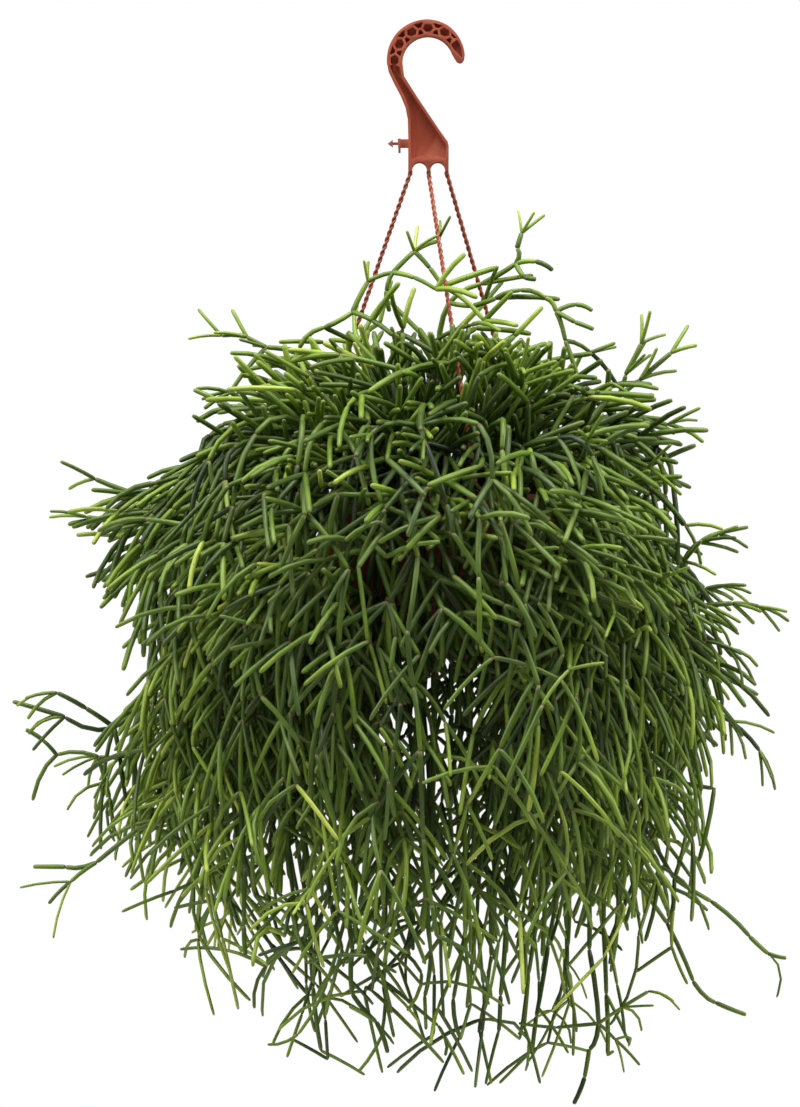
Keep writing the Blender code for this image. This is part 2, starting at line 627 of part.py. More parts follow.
# The stems that stand out in the outline, in millimetres. The first line of each runs from
# just over the soil to its tip, and each other line starts at a point of a line before it.
SHOWN_STEMS = {
    "stem_arch_left": [
        [(-30, -12, -300), (-40, -17, -285), (-64, -26, -260), (-82, -30, -232), (-83, -30, -205),
         (-67, -30, -192), (-49, -28, -182), (-39, -25, -162), (-23, -22, -156), (-9, -20, -142),
         (6, -18, -135)],
        [(-9, -20, -142), (1, -22, -153), (9, -24, -165)],
        [(-23, -22, -156), (-27, -24, -168), (-25, -20, -181)],
        [(-23, -22, -156), (-9, -32, -160), (5, -38, -168)],
        [(-49, -28, -182), (-36, -38, -188), (-23, -46, -198)],
    ],
    "stem_top_right": [
        [(2, 12, -300), (3, 12, -270), (3, 10, -237), (7, 5, -205), (14, 0, -174), (35, -4, -162),
         (57, -8, -149), (58, -8, -139), (61, -6, -129)],
        [(57, -8, -149), (70, -12, -148), (81, -14, -154)],
        [(57, -8, -149), (62, -16, -158), (70, -20, -160)],
        [(14, 0, -174), (29, -12, -177), (44, -16, -172), (60, -16, -167), (76, -16, -172),
         (83, -16, -181), (89, -18, -200), (98, -20, -227)],
        [(83, -16, -181), (96, -12, -176), (107, -10, -180)],
        [(83, -16, -181), (95, -22, -188), (107, -26, -193)],
    ],
    "stem_front_top": [
        [(38, -22, -300), (40, -27, -283), (46, -40, -249), (40, -60, -213), (13, -66, -217),
         (-13, -70, -223)],
        [(40, -60, -213), (55, -56, -199), (73, -52, -180)],
    ],
    "stem_right_top": [
        [(46, 2, -300), (50, 2, -280), (60, 0, -241), (88, 0, -230), (116, 0, -242),
         (129, -4, -221), (139, -6, -201)],
        [(116, 0, -242), (139, 8, -224), (160, 12, -206)],
        [(116, 0, -242), (129, -10, -252), (156, -14, -254)],
    ],
    "stem_right_shoulder": [
        [(62, -12, -300), (70, -15, -282), (87, -20, -258), (115, -26, -272), (143, -28, -295),
         (166, -30, -320)],
    ],
    "stem_right_side": [
        [(58, -30, -300), (70, -36, -284), (92, -38, -281), (111, -34, -308), (136, -36, -342),
         (157, -36, -366), (179, -30, -361), (190, -28, -359)],
        [(157, -36, -366), (164, -42, -343), (174, -44, -331), (185, -44, -325)],
        [(157, -36, -366), (178, -44, -371), (195, -46, -370), (212, -46, -372)],
        [(157, -36, -366), (168, -38, -384), (192, -40, -399)],
    ],
    "stem_right_low": [
        [(64, 14, -300), (74, 14, -284), (97, 14, -281), (109, 12, -325), (106, 10, -382),
         (139, 14, -428), (172, 12, -437), (198, 8, -448), (217, 4, -467)],
    ],
    "stem_right_hanging": [
        [(48, -44, -300), (62, -55, -284), (86, -64, -286), (99, -58, -335), (108, -42, -388),
         (111, -30, -432), (112, -10, -472), (144, -12, -521), (160, -14, -549), (184, -14, -564),
         (209, -12, -587), (221, -12, -598), (233, -12, -601)],
        [(111, -30, -432), (143, -34, -477), (184, -36, -489)],
        [(160, -14, -549), (159, -18, -570), (158, -20, -593), (168, -22, -617)],
    ],
    "stem_right_outer": [
        [(56, 32, -300), (73, 40, -284), (99, 46, -286), (114, 38, -335), (116, 30, -400),
         (112, 22, -450), (114, 20, -500), (137, 24, -553), (158, 22, -582), (175, 20, -620),
         (190, 20, -634), (210, 20, -642)],
    ],
    "stem_right_lowest": [
        [(32, -56, -300), (43, -68, -284), (66, -88, -286), (85, -94, -335), (92, -86, -400),
         (94, -70, -450), (93, -60, -495), (101, -66, -544), (102, -66, -590), (108, -64, -637),
         (102, -66, -653), (99, -66, -671), (92, -66, -688)],
        [(108, -64, -637), (123, -62, -627), (140, -60, -617)],
        [(108, -64, -637), (81, -68, -639), (57, -70, -636)],
        [(108, -64, -637), (119, -58, -648), (135, -54, -665)],
    ],
    "stem_left_lowest": [
        [(-18, -58, -300), (-26, -72, -284), (-37, -93, -286), (-49, -102, -335),
         (-56, -102, -400), (-57, -94, -440), (-56, -90, -480), (-53, -96, -524), (-51, -98, -562),
         (-48, -104, -586), (-48, -108, -613), (-33, -112, -630), (-26, -114, -649)],
        [(-51, -98, -562), (-57, -102, -583), (-64, -106, -606), (-82, -108, -638),
         (-101, -110, -644)],
        [(-51, -98, -562), (-40, -92, -584), (-27, -88, -608), (6, -84, -636), (10, -82, -655)],
        [(-51, -98, -562), (-70, -92, -575), (-103, -88, -598), (-110, -84, -625)],
        [(-51, -98, -562), (-28, -104, -583), (-5, -108, -607)],
    ],
    "stem_left_far": [
        [(-52, -6, -300), (-62, -7, -283), (-88, -8, -271), (-122, -9, -286), (-155, -10, -316),
         (-174, -12, -349), (-176, -12, -381), (-173, -12, -414), (-204, -14, -451),
         (-236, -16, -444), (-270, -16, -434)],
        [(-204, -14, -451), (-222, -22, -438), (-240, -26, -428)],
        [(-204, -14, -451), (-200, -18, -469), (-195, -20, -505)],
        [(-173, -12, -414), (-181, -2, -441), (-190, 2, -467), (-216, 4, -471), (-243, 4, -470),
         (-259, 6, -500)],
        [(-243, 4, -470), (-252, 2, -460), (-263, 0, -453)],
    ],
    "stem_left_low": [
        [(-40, -32, -300), (-54, -42, -284), (-80, -54, -282), (-98, -56, -330), (-108, -54, -380),
         (-114, -50, -432), (-127, -52, -476), (-170, -50, -508), (-187, -48, -515),
         (-213, -46, -536), (-233, -44, -539), (-254, -42, -539)],
        [(-213, -46, -536), (-229, -50, -548), (-243, -52, -562)],
    ],
    "stem_left_top": [
        [(-18, 26, -300), (-26, 28, -275), (-45, 30, -236), (-65, 34, -213), (-84, 36, -204),
         (-107, 38, -201), (-120, 40, -194), (-137, 42, -193)],
    ],
    "stem_left_shoulder": [
        [(-44, 12, -300), (-57, 8, -282), (-78, 6, -261), (-104, 8, -257), (-133, 8, -273),
         (-162, 4, -301), (-188, 2, -300), (-218, 0, -289)],
        [(-162, 4, -301), (-191, -4, -316), (-223, -6, -314)],
    ],
    "stem_front": [
        [(8, -48, -300), (8, -66, -284), (9, -94, -276), (8, -120, -292), (-8, -132, -307),
         (-10, -146, -338), (-26, -158, -368), (-52, -166, -400), (-59, -170, -435),
         (-69, -172, -460)],
        [(-10, -146, -338), (6, -154, -354), (20, -158, -374)],
        [(-26, -158, -368), (-21, -166, -389), (-24, -170, -409), (-18, -172, -429),
         (-22, -174, -457), (-24, -174, -477)],
    ],
}

# The other stems, as groups: how many, the radius of their roots, the share of the outline's
# radius that they reach, and the height of their tips. Lengths are in millimetres.
STEM_GROUPS = {
    "dome": (12, (10, 42), (0.4, 0.8), (-250, -212)),
    "shoulder": (10, (46, 58), (0.78, 0.96), (-400, -300)),
    "curtain": (14, (60, 68), (0.55, 0.85), (-670, -450)),
}
SEED = 37
FORK_POINT = 2
FORK_TURN = 14
LEAST_FORK = 4
TWIG_LENGTHS = (26, 44)
SHOWN_TWIGS = 0.4
GROUP_TWIGS = 0.22


def place_shown_line(thicket, line, share):
    """A given line, with a point moved in depth where it would be too near another stem."""
    points = [line[0]]
    for i, wished in enumerate(line[1:]):
        radius = stem_radius(share + SHARE_STEP * i) * FACET_ROOM
        for attempt in range(TRIES):
            side = -1 if attempt % 2 else 1
            point = wished + np.array((0, side * 1.2 * MM * attempt, 0))
            if thicket.is_clear(points[-1], point, radius):
                break
        else:
            break
        thicket.add(points[-1], point, radius)
        points.append(point)
    return Run(points, share) if len(points) > 1 else None


def on_its_root(thicket, run):
    """The run with its foot, which stands upright in a hole in the soil."""
    top = run.points[0]
    foot = np.array((top[0], top[1], SOIL_TOP - ROOT_DEPTH))
    thicket.add(foot, top, stem_radius(0) * FACET_ROOM)
    run.points.insert(0, foot)
    run.shares.append(2 * run.shares[-1] - run.shares[-2])
    return run


def place_shown_stem(thicket, lines):
    lines = [[mm(*point) for point in line] for line in lines]
    runs = [on_its_root(thicket, place_shown_line(thicket, lines[0], 0))]
    for line in lines[1:]:
        joints = [(np.linalg.norm((point - line[0]) * (1, 0, 1)), i, run)
                  for run in runs for i, point in enumerate(run.points)]
        away, i, run = min(joints, key=lambda joint: joint[0])
        if away > JOINT_REACH:
            continue
        line[0] = run.points[i]
        side = place_shown_line(thicket, line, run.shares[i])
        if side:
            runs.append(side)
    return runs


def free_root(roots, azimuth, radius):
    """The nearest place to this azimuth and radius that is clear of the other roots."""
    places = [about_pot(azimuth + turn, max(radius - inward, 0), 0)[:2]
              for turn in range(-60, 61, 4) for inward in mm(0, 5, 10, 15, 20, 25, 30)]
    wished = about_pot(azimuth, radius, 0)[:2]
    places.sort(key=lambda place: float(np.linalg.norm(place - wished)))
    for place in places:
        if all(np.linalg.norm(place - root) > ROOT_SPACING for root in roots):
            return place
    raise ValueError("no room for a root")


def group_route(draw, group, azimuth, root, reach, tip):
    """A route from the root up over the rim and out or down, for a stem of this group."""
    drift = draw.uniform(-14, 14)
    start = np.array((*root, RIM_TOP))
    radius = math.hypot(root[0] - POT_AXIS_X, root[1])
    turn = math.degrees(math.atan2(root[1], root[0] - POT_AXIS_X))
    if group == "dome":
        return [start, about_pot(turn, radius + 0.3 * (reach - radius), tip - 25 * MM),
                about_pot(turn + drift, reach, tip)]
    over = RIM_TOP + draw.uniform(16, 44) * MM
    rise = [start, about_pot(turn, radius + 11 * MM, RIM_TOP + 15 * MM),
            about_pot(turn, 100 * MM, over)]
    if group == "shoulder":
        return rise + [about_pot(turn + drift / 2, 0.5 * (100 * MM + reach) + 10 * MM, over),
                       about_pot(turn + drift, reach, tip)]
    hang = max(reach, 112 * MM)
    return rise + [about_pot(turn + drift / 3, 0.5 * (100 * MM + hang), over - 35 * MM),
                   about_pot(turn + drift / 2, hang, RIM_TOP - 90 * MM),
                   about_pot(turn + drift, reach * draw.uniform(0.9, 1.1), tip)]


def place_group_stem(thicket, draw, group, azimuth, roots):
    """A stem of a group: the longest of a few tries near its azimuth."""
    _, root_radii, reaches, tips = STEM_GROUPS[group]
    best = None
    for attempt in range(6):
        before = thicket.count
        root = free_root(roots, azimuth + draw.uniform(-8, 8), draw.uniform(*root_radii) * MM)
        tip = draw.uniform(*tips) * MM
        reach = draw.uniform(*reaches) * outline_radius(azimuth, tip)
        route = group_route(draw, group, azimuth, root, reach, tip)
        run = jointed_run(thicket, draw, route)
        thicket.count = before
        left = np.linalg.norm(route[-1] - run.points[-1])
        if best is None or left < best[0]:
            best = (left, root, run, route)
    _, root, run, route = best
    roots.append(root)
    thicket.add_run(run.points, [r * FACET_ROOM for r in run.radii()])
    return [on_its_root(thicket, run)], route


def swung(point, turn):
    """A point turned about the pot's axis by an angle in degrees."""
    x, y = point[0] - POT_AXIS_X, point[1]
    cos, sin = math.cos(math.radians(turn)), math.sin(math.radians(turn))
    return np.array((POT_AXIS_X + x * cos - y * sin, x * sin + y * cos, point[2]))


def add_fork(thicket, draw, runs, route, turn):
    """A second line that leaves a stem over the rim and runs beside it, where there is room."""
    parent = runs[0]
    over = route[FORK_POINT]
    at = min(range(2, len(parent.points)),
             key=lambda i: float(np.linalg.norm(parent.points[i] - over)))
    before = thicket.count
    beside = [parent.points[at]] + [swung(point, turn) for point in route[FORK_POINT + 1:]]
    fork = jointed_run(thicket, draw, beside)
    if len(fork.points) < LEAST_FORK:
        thicket.count = before
        return
    runs.append(Run(fork.points, parent.shares[at]))


def grow_stems(thicket):
    """Every stem's runs by name: first all main lines, then the side stems."""
    stems = {}
    routes = {}
    roots = []
    for name, lines in SHOWN_STEMS.items():
        stems[name] = place_shown_stem(thicket, lines)
        roots.append(mm(*lines[0][0][:2]))
    for group, (count, *_) in STEM_GROUPS.items():
        for i in range(count):
            name = f"stem_{group}_{i + 1:02d}"
            draw = random.Random(f"{SEED} {name}")
            azimuth = 360 * (i + draw.random() * 0.4) / count
            stems[name], routes[name] = place_group_stem(thicket, draw, group, azimuth, roots)
    for turn in (FORK_TURN, -FORK_TURN):
        for name, route in routes.items():
            if len(route) > FORK_POINT + 1:
                draw = random.Random(f"{SEED} fork {turn} {name}")
                add_fork(thicket, draw, stems[name], route, turn)
    for name, runs in stems.items():
        draw = random.Random(f"{SEED} twigs {name}")
        shown = name in SHOWN_STEMS
        for run in list(runs):
            add_twigs(thicket, draw, runs, run, SHOWN_TWIGS if shown else GROUP_TWIGS,
                      0 if shown else 1, 2, (1, 2))
    return stems, roots


def main():
    for old in list(bpy.data.objects):
        bpy.data.objects.remove(old)
    red = material("red_plastic", (0.42, 0.075, 0.03), 0.45)
    earth = material("potting_soil", (0.045, 0.028, 0.018), 0.95)
    green = material("stem_green", (0.12, 0.25, 0.03), 0.5)
    make_hook(red)
    for index in range(3):
        make_strand(index, red)
    make_pot(red)
    thicket = Thicket()
    for index in range(3):
        path = strand_path(index)
        thicket.add_run(path, [1.6 * MM] * len(path))
        thicket.add(path[2], path[3], 7.5 * MM)
    stems, roots = grow_stems(thicket)
    make_soil(earth, roots)
    for name, runs in stems.items():
        make_stem(name, runs, green)


main()
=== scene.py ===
"""Looks of a potted rhipsalis in a hanging pot, in metres with +Z up.

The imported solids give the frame. The hook, strands, pot and soil get finer pieces of the same
form. The stems are grown again along the same lines, as rounded pieces that meet at joints,
and each joint gets the whorls of side stems that make the head and the curtain dense.
"""

import itertools
import math
import random

import bmesh
import bpy
import numpy as np
from mathutils import Matrix, Vector


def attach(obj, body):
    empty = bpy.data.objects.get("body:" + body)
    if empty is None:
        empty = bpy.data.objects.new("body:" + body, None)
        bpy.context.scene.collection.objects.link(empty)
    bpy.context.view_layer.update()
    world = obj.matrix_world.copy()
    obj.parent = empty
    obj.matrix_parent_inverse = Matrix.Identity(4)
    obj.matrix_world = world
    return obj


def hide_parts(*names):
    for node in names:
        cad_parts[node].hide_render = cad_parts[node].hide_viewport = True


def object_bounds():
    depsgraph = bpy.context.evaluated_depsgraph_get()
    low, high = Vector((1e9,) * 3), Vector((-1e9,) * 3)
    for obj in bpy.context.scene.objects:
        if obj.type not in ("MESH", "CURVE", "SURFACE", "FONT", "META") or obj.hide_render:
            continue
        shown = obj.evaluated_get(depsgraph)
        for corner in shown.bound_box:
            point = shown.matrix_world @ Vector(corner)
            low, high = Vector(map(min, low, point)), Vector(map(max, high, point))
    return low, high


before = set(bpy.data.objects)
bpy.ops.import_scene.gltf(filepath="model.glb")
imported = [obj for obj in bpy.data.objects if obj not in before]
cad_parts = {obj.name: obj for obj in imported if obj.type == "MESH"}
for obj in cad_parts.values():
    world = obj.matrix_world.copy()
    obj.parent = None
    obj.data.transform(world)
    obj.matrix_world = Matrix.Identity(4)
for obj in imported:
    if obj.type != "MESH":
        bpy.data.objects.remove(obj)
CAD_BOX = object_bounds()

MM = 0.001

# View and light. A light has a place and a strength.
CAMERA_PLACE = (-0.0183, -2.4, -0.3379)
CAMERA_LENS = 165.2
FLOOR_HEIGHT = -1.6
FLOOR_RADIUS = 5.0
SURROUND_STRENGTH = 0.06
WHITE = (1, 1, 1)
LIGHT_SIZE = 1.4
LIGHT_AIM = (0, 0, -0.38)
LIGHTS = {
    "left_light": ((-2.2, -0.8, 1.2), 52),
    "right_light": ((2.2, -0.7, 1.0), 44),
    "top_light": ((0.0, -0.6, 1.8), 60),
}

# Colours of the stems from old or in painted shade deep in the head to young, of the plastic and of
# the soil, by place in a ramp
STEM_AGE_AND_SHADE_COLOURS = {
    0.0: (0.020, 0.036, 0.011), 0.3: (0.062, 0.108, 0.018), 0.55: (0.146, 0.240, 0.028),
    0.8: (0.290, 0.425, 0.045), 1.0: (0.540, 0.640, 0.105),
}
DOT_COLOUR = (0.060, 0.070, 0.025)
SCAR_COLOUR = (0.260, 0.190, 0.085)
PLASTIC_COLOURS = {
    0.25: (0.270, 0.042, 0.018), 0.55: (0.340, 0.058, 0.025), 0.8: (0.400, 0.080, 0.036),
}
# Painted highlight on the plastic's convex edges
EDGE_HIGHLIGHT_COLOUR = (0.470, 0.130, 0.070)
SOIL_COLOURS = {
    0.3: (0.014, 0.009, 0.006), 0.5: (0.050, 0.030, 0.018), 0.62: (0.110, 0.070, 0.040),
    0.75: (0.230, 0.170, 0.110),
}

# Pot
POT_AXIS_X = 6.5 * MM
RIM_TOP = -300 * MM
POT_HEIGHT = 105 * MM
POT_BASE = RIM_TOP - POT_HEIGHT
RIM_RADIUS = 85 * MM
BASE_RADIUS = 54 * MM
WALL = 1.8 * MM
LIP_WIDTH = 4 * MM
LIP_DROP = 8 * MM
POT_SIDES = 96
POT_ROUNDING = 0.3 * MM
HOLE_SIDES = 24
DRAIN_HOLES = 6
DRAIN_RADIUS = 4 * MM

# Soil
SOIL_DEPTH = 45 * MM
SOIL_TOP = RIM_TOP - 12 * MM
SOIL_ROOM = 1.2 * MM
SOIL_FOOT_ROOM = 1.0 * MM
SOIL_RINGS = 40
SOIL_SIDES = 120
SOIL_WAVES = 26
SOIL_LUMP = 2.2 * MM

# Lugs on the rim that the strands snap into
LUG_AZIMUTHS = (164, -76, 44)
LUG_HALF_WIDTH = 6.5 * MM
LUG_ROUND = 5.5 * MM
LUG_THICKNESS = 3 * MM
LUG_HOLE_AT = 92.8 * MM
LUG_HOLE_RADIUS = 1.9 * MM

# Strands, each of two twisted plies
STRAND_TOPS = (-11.6 * MM, 0.45 * MM, 12.2 * MM)
STRAND_TOP_HEIGHT = -89.3 * MM
PLY_RADIUS = 0.85 * MM
PLY_OFFSET = 0.72 * MM
PLY_PITCH = 9.2 * MM
PLY_STEP = 0.8 * MM
PLY_SIDES = 7
CUFF_SIDES = 16
BARB_SIDES = 20

# Hook, in millimetres from its seat. Its round is about the point one inner radius below.
HOOK_INNER_RADIUS = 16.7
HOOK_OUTER_ANGLES = (-8, 30, 60, 90, 135, 180)
HOOK_OUTER_RADII = (23.6, 25.2, 26.8, 27.5, 27.6, 26.9)
HOOK_DEPTH = 8
HOOK_FLANGE = 1.7
HOOK_WEB = 2
HOOK_BASE = -88.5
HOOK_ROUNDING = 0.32 * MM
HOOK_LEFT = [
    (-25.7, -22.6), (-22.2, -30.1), (-17.8, -38.4), (-14.7, -45.9), (-13.2, -53.5),
    (-12.9, -65.2), (-12.9, HOOK_BASE),
]
HOOK_RIGHT = [
    (13.4, HOOK_BASE), (13.5, -72.1), (12.8, -69), (6.7, -60.4), (-7.1, -39.8), (-15.6, -26.4),
]
HOOK_TIP = [(17.8, -14.6), (19, -16.4), (20.6, -17.2), (22.3, -16.8), (23.6, -15)]
SHANK_RECESS = [
    (-24.9, -19.2), (-24.1, -22.1), (-20.7, -29.3), (-16.2, -37.9), (-13.1, -45.4),
    (-11.5, -53.2), (-11.2, -65.2), (-11.2, -80.4), (-5.5, -78.6), (0.5, -79.8), (6.4, -78.6),
    (11.6, -80.4), (11.8, -72.6), (11.2, -70), (5.3, -61.4), (-8.5, -40.8), (-17.2, -27.3),
    (-18.5, -20.6), (-21.8, -18.4),
]
ARCH_RADIUS = 4.8
ARCH_CENTRES = (-5.5, 6.4)
ARCH_HEIGHT = -87.2
HEX_ANGLES = (178, 149, 119, 90, 60)
HEX_HALF_LENGTH = 3.5
HEX_HALF_WIDTH = 2.6
HEX_CORNERS = ((1, 0), (0.5, 1), (-0.5, 1), (-1, 0), (-0.5, -1), (0.5, -1))
HEX_MIDDLE = HOOK_INNER_RADIUS + 5.2
HEX_LAST_GAP = 45
HEX_RIB = 0.7
# The spare clip at the hook's foot: the outline of each block, and half its depth
CLIP_BLOCKS = {
    "clip_block": (((-18, -67.3), (-12.6, -67.3), (-12.6, -72.6), (-18, -72.6)), 2),
    "clip_plate": (((-19.8, -66.9), (-17.9, -66.9), (-17.9, -75.8), (-19.3, -76)), 2.5),
    "clip_stem": (((-23.5, -69.2), (-19.6, -69.2), (-19.6, -70.8), (-23.5, -70.8)), 0.9),
    "clip_barb": (((-26.2, -70), (-23, -67.6), (-23, -72.4)), 1.6),
}

# Stems
FACET_ROOM = 1.25
BASE_STEM_RADIUS = 2.4 * MM
TIP_STEM_RADIUS = 1.6 * MM
ROOT_DEPTH = 9 * MM
ROOT_SPACING = 9.5 * MM
CLOSE_ROOT_SPACING = 4.5 * MM
STEM_GAP = 0.7 * MM
TRIES = 24
SHARE_STEP = 0.08
ROUTE_STEP = 2 * MM
ROUTE_REST = 6
MAIN_LENGTHS = (30, 48)
MAIN_JITTER = 4 * MM
JOINT_REACH = 3 * MM
DEPTH_STEP = 1.2 * MM
GROUP_TRIES = 6
AZIMUTH_SPREAD = 8
DRIFT = 14
OVER_RIM = 100 * MM
LEAST_HANG = 112 * MM
FORK_POINT = 2
FORK_TURN = 14
LEAST_FORK = 4
TWIG_LENGTHS = (26, 44)
TWIG_SHARE_STEP = 0.1
TWIG_SAME_WAY = 0.88
SHOWN_TWIGS = 0.4
GROUP_TWIGS = 0.22
LEAN_HEIGHTS = (-560, -420, -330, -250)
LEAN_LIFTS = (-0.7, -0.25, 0.15, 0.9)
SEED = 37

# Room for the stems: the grid they are filed in, and what they keep clear of
THICKET_ROOM = 30000
CELL = 25 * MM
TOUCH = 1e-6
WALL_CHECKS = 8
INNER_STEP = 3.5 * MM
STRAND_ROOM = 1.6 * MM
BARB_ROOM = 7.5 * MM

# The outline of the stems in millimetres: height, and reach to the left and right of the pot's
# axis. Towards the front and back they reach the mean of the two.
OUTLINE = (
    (-690, 80, 80), (-670, 118, 128), (-643, 136, 134), (-610, 178, 146), (-587, 212, 160),
    (-541, 232, 168), (-499, 220, 200), (-433, 215, 200), (-368, 220, 175), (-303, 226, 160),
    (-273, 164, 150), (-237, 150, 134), (-205, 110, 100), (-190, 55, 60),
)


def mm(*numbers):
    """Millimetres as an array in metres."""
    return np.array(numbers, float) * MM


def polar(radius, angle):
    """The two coordinates of a point at this radius and angle in degrees."""
    turn = math.radians(angle)
    return radius * math.cos(turn), radius * math.sin(turn)


def about_pot(azimuth, radius, height):
    """The point at this azimuth in degrees, radius from the pot's axis and height."""
    x, y = polar(radius, azimuth)
    return np.array((POT_AXIS_X + x, y, height))


def unit(vector):
    return vector / (np.linalg.norm(vector) + 1e-12)


# View, light and floor


def add_object(name, data):
    made = bpy.data.objects.new(name, data)
    bpy.context.scene.collection.objects.link(made)
    return made


def make_camera():
    data = bpy.data.cameras.new("camera")
    data.sensor_fit = "HORIZONTAL"
    data.lens = CAMERA_LENS
    camera = add_object("camera", data)
    camera.location = CAMERA_PLACE
    camera.rotation_euler = (math.radians(90), 0, 0)
    bpy.context.scene.camera = camera


def make_light(name, place, energy):
    """A square soft light that faces the middle of the plant."""
    data = bpy.data.lights.new(name, "AREA")
    data.size = LIGHT_SIZE
    data.energy = energy
    light = add_object(name, data)
    light.location = place
    heading = Vector(LIGHT_AIM) - Vector(place)
    light.rotation_euler = heading.to_track_quat("-Z", "Y").to_euler()


def make_world():
    """A white surround for the camera, which lights the plant more softly than it looks."""
    world = bpy.data.worlds.new("studio")
    world.use_nodes = True
    tree = world.node_tree
    seen = tree.nodes["Background"]
    set_inputs(tree, seen, {"Color": WHITE, "Strength": 1.0})
    around = add_node(tree, "Background", {"Color": WHITE, "Strength": SURROUND_STRENGTH})
    ray = add_node(tree, "LightPath").outputs["Is Camera Ray"]
    mixed = add_node(tree, "MixShader", {0: ray, 1: around.outputs[0], 2: seen.outputs[0]})
    tree.links.new(mixed.outputs[0], tree.nodes["World Output"].inputs["Surface"])
    bpy.context.scene.world = world
    bpy.context.scene.view_settings.view_transform = "Standard"


def make_floor():
    bm = bmesh.new()
    bmesh.ops.create_circle(bm, cap_ends=True, segments=64, radius=FLOOR_RADIUS)
    floor = mesh_object("floor", bm, plain_material("floor_paint", (0.80, 0.80, 0.80), 0.8))
    floor.location = (0, 0, FLOOR_HEIGHT)


# Materials


def set_inputs(tree, node, inputs):
    """Sets a node's inputs, each to a value or to another node's output."""
    for key, value in inputs.items():
        socket = node.inputs[key]
        if isinstance(value, bpy.types.NodeSocket):
            tree.links.new(value, socket)
        else:
            socket.default_value = (*value, 1) if socket.type == "RGBA" else value


def add_node(tree, kind, inputs=None, **settings):
    """A shader node with its properties and inputs set."""
    made = tree.nodes.new(f"ShaderNode{kind}")
    for key, value in settings.items():
        setattr(made, key, value)
    set_inputs(tree, made, inputs or {})
    return made


def plain_material(name, colour, roughness):
    made = bpy.data.materials.new(name)
    made.use_nodes = True
    tree = made.node_tree
    set_inputs(tree, shader_of(tree), {"Base Color": colour, "Roughness": roughness})
    return made


def shader_of(tree):
    return tree.nodes["Principled BSDF"]


def noise(tree, coordinates, scale, detail, roughness=0.55):
    """A noise texture's value."""
    return add_node(tree, "TexNoise", {"Vector": coordinates, "Scale": scale, "Detail": detail,
                                       "Roughness": roughness}).outputs["Fac"]


def stretched(tree, coordinates, scale):
    """Coordinates multiplied along each axis."""
    return add_node(tree, "Mapping", {"Vector": coordinates, "Scale": scale}).outputs["Vector"]


def remap(tree, value, low, high, to_low, to_high):
    """A value brought from one range to another and kept inside it."""
    inputs = {"Value": value, "From Min": low, "From Max": high, "To Min": to_low,
              "To Max": to_high}
    return add_node(tree, "MapRange", inputs).outputs["Result"]


def ramp(tree, value, stops):
    """A colour ramp through colours at their places."""
    made = add_node(tree, "ValToRGB", {"Fac": value})
    elements = made.color_ramp.elements
    while len(elements) < len(stops):
        elements.new(0.5)
    for element, (place, colour) in zip(elements, stops.items()):
        element.position = place
        element.color = (*colour, 1)
    return made.outputs["Color"]


def blend_colour(tree, share, first, second, how="MIX"):
    """Two colours mixed by a share of the second."""
    return add_node(tree, "Mix", {0: share, 6: first, 7: second}, data_type="RGBA",
                    blend_type=how).outputs[2]


def attribute(tree, name, output="Fac"):
    return add_node(tree, "Attribute", attribute_name=name).outputs[output]


def bump(tree, height, strength, distance):
    inputs = {"Height": height, "Strength": strength, "Distance": distance}
    return add_node(tree, "Bump", inputs).outputs["Normal"]


def stem_material():
    """Green skin: its colour by age and by painted shade deep in the head, with streaks along the
    stem, small dots and pale scars.
    """
    made = plain_material("stem_skin", (0.12, 0.25, 0.03), 0.42)
    tree = made.node_tree
    place = add_node(tree, "TexCoord").outputs["Object"]
    grain = attribute(tree, "grain", "Vector")
    patches = remap(tree, noise(tree, place, 26, 2), 0.3, 0.7, -0.13, 0.13)
    tone = add_node(tree, "Math", {0: attribute(tree, "tone"), 1: patches}, operation="ADD",
                    use_clamp=True).outputs[0]
    # The tone holds the stem's age and the painted shade deep in the head.
    skin = ramp(tree, tone, STEM_AGE_AND_SHADE_COLOURS)
    streaks = remap(tree, noise(tree, stretched(tree, grain, (900, 900, 90)), 1, 3), 0.3, 0.7,
                    0.84, 1.14)
    grey = add_node(tree, "CombineColor", {0: streaks, 1: streaks, 2: streaks}).outputs[0]
    skin = blend_colour(tree, 1.0, skin, grey, "MULTIPLY")
    dots = add_node(tree, "TexVoronoi", {"Vector": place, "Scale": 210}).outputs["Distance"]
    skin = blend_colour(tree, remap(tree, dots, 0.06, 0.13, 0.75, 0.0), skin, DOT_COLOUR)
    patchy = remap(tree, noise(tree, place, 400, 2), 0.35, 0.6, 0.15, 1.0)
    scar = add_node(tree, "Math", {0: attribute(tree, "scar"), 1: patchy}, operation="MULTIPLY")
    skin = blend_colour(tree, scar.outputs[0], skin, SCAR_COLOUR)
    wrinkles = noise(tree, stretched(tree, grain, (1300, 1300, 170)), 1, 3, 0.6)
    set_inputs(tree, shader_of(tree), {
        "Base Color": skin, "Specular IOR Level": 0.42,
        "Normal": bump(tree, wrinkles, 0.35, 0.4 * MM)})
    return made


def plastic_material():
    """Moulded red-brown plastic, with faint flow marks and a painted highlight on its convex edges.
    """
    made = plain_material("red_plastic_moulded", (0.33, 0.055, 0.024), 0.38)
    tree = made.node_tree
    place = add_node(tree, "TexCoord").outputs["Object"]
    flow = noise(tree, stretched(tree, place, (1, 1, 0.35)), 120, 4)
    # Convex edges get a paler colour: a painted highlight.
    edge = add_node(tree, "NewGeometry").outputs["Pointiness"]
    colour = blend_colour(tree, remap(tree, edge, 0.5, 0.56, 0.0, 0.45),
                          ramp(tree, flow, PLASTIC_COLOURS), EDGE_HIGHLIGHT_COLOUR)
    set_inputs(tree, shader_of(tree), {
        "Base Color": colour,
        "Roughness": remap(tree, noise(tree, place, 500, 3), 0.3, 0.7, 0.34, 0.5),
        "Normal": bump(tree, noise(tree, place, 1400, 2), 0.12, 0.2 * MM)})
    return made


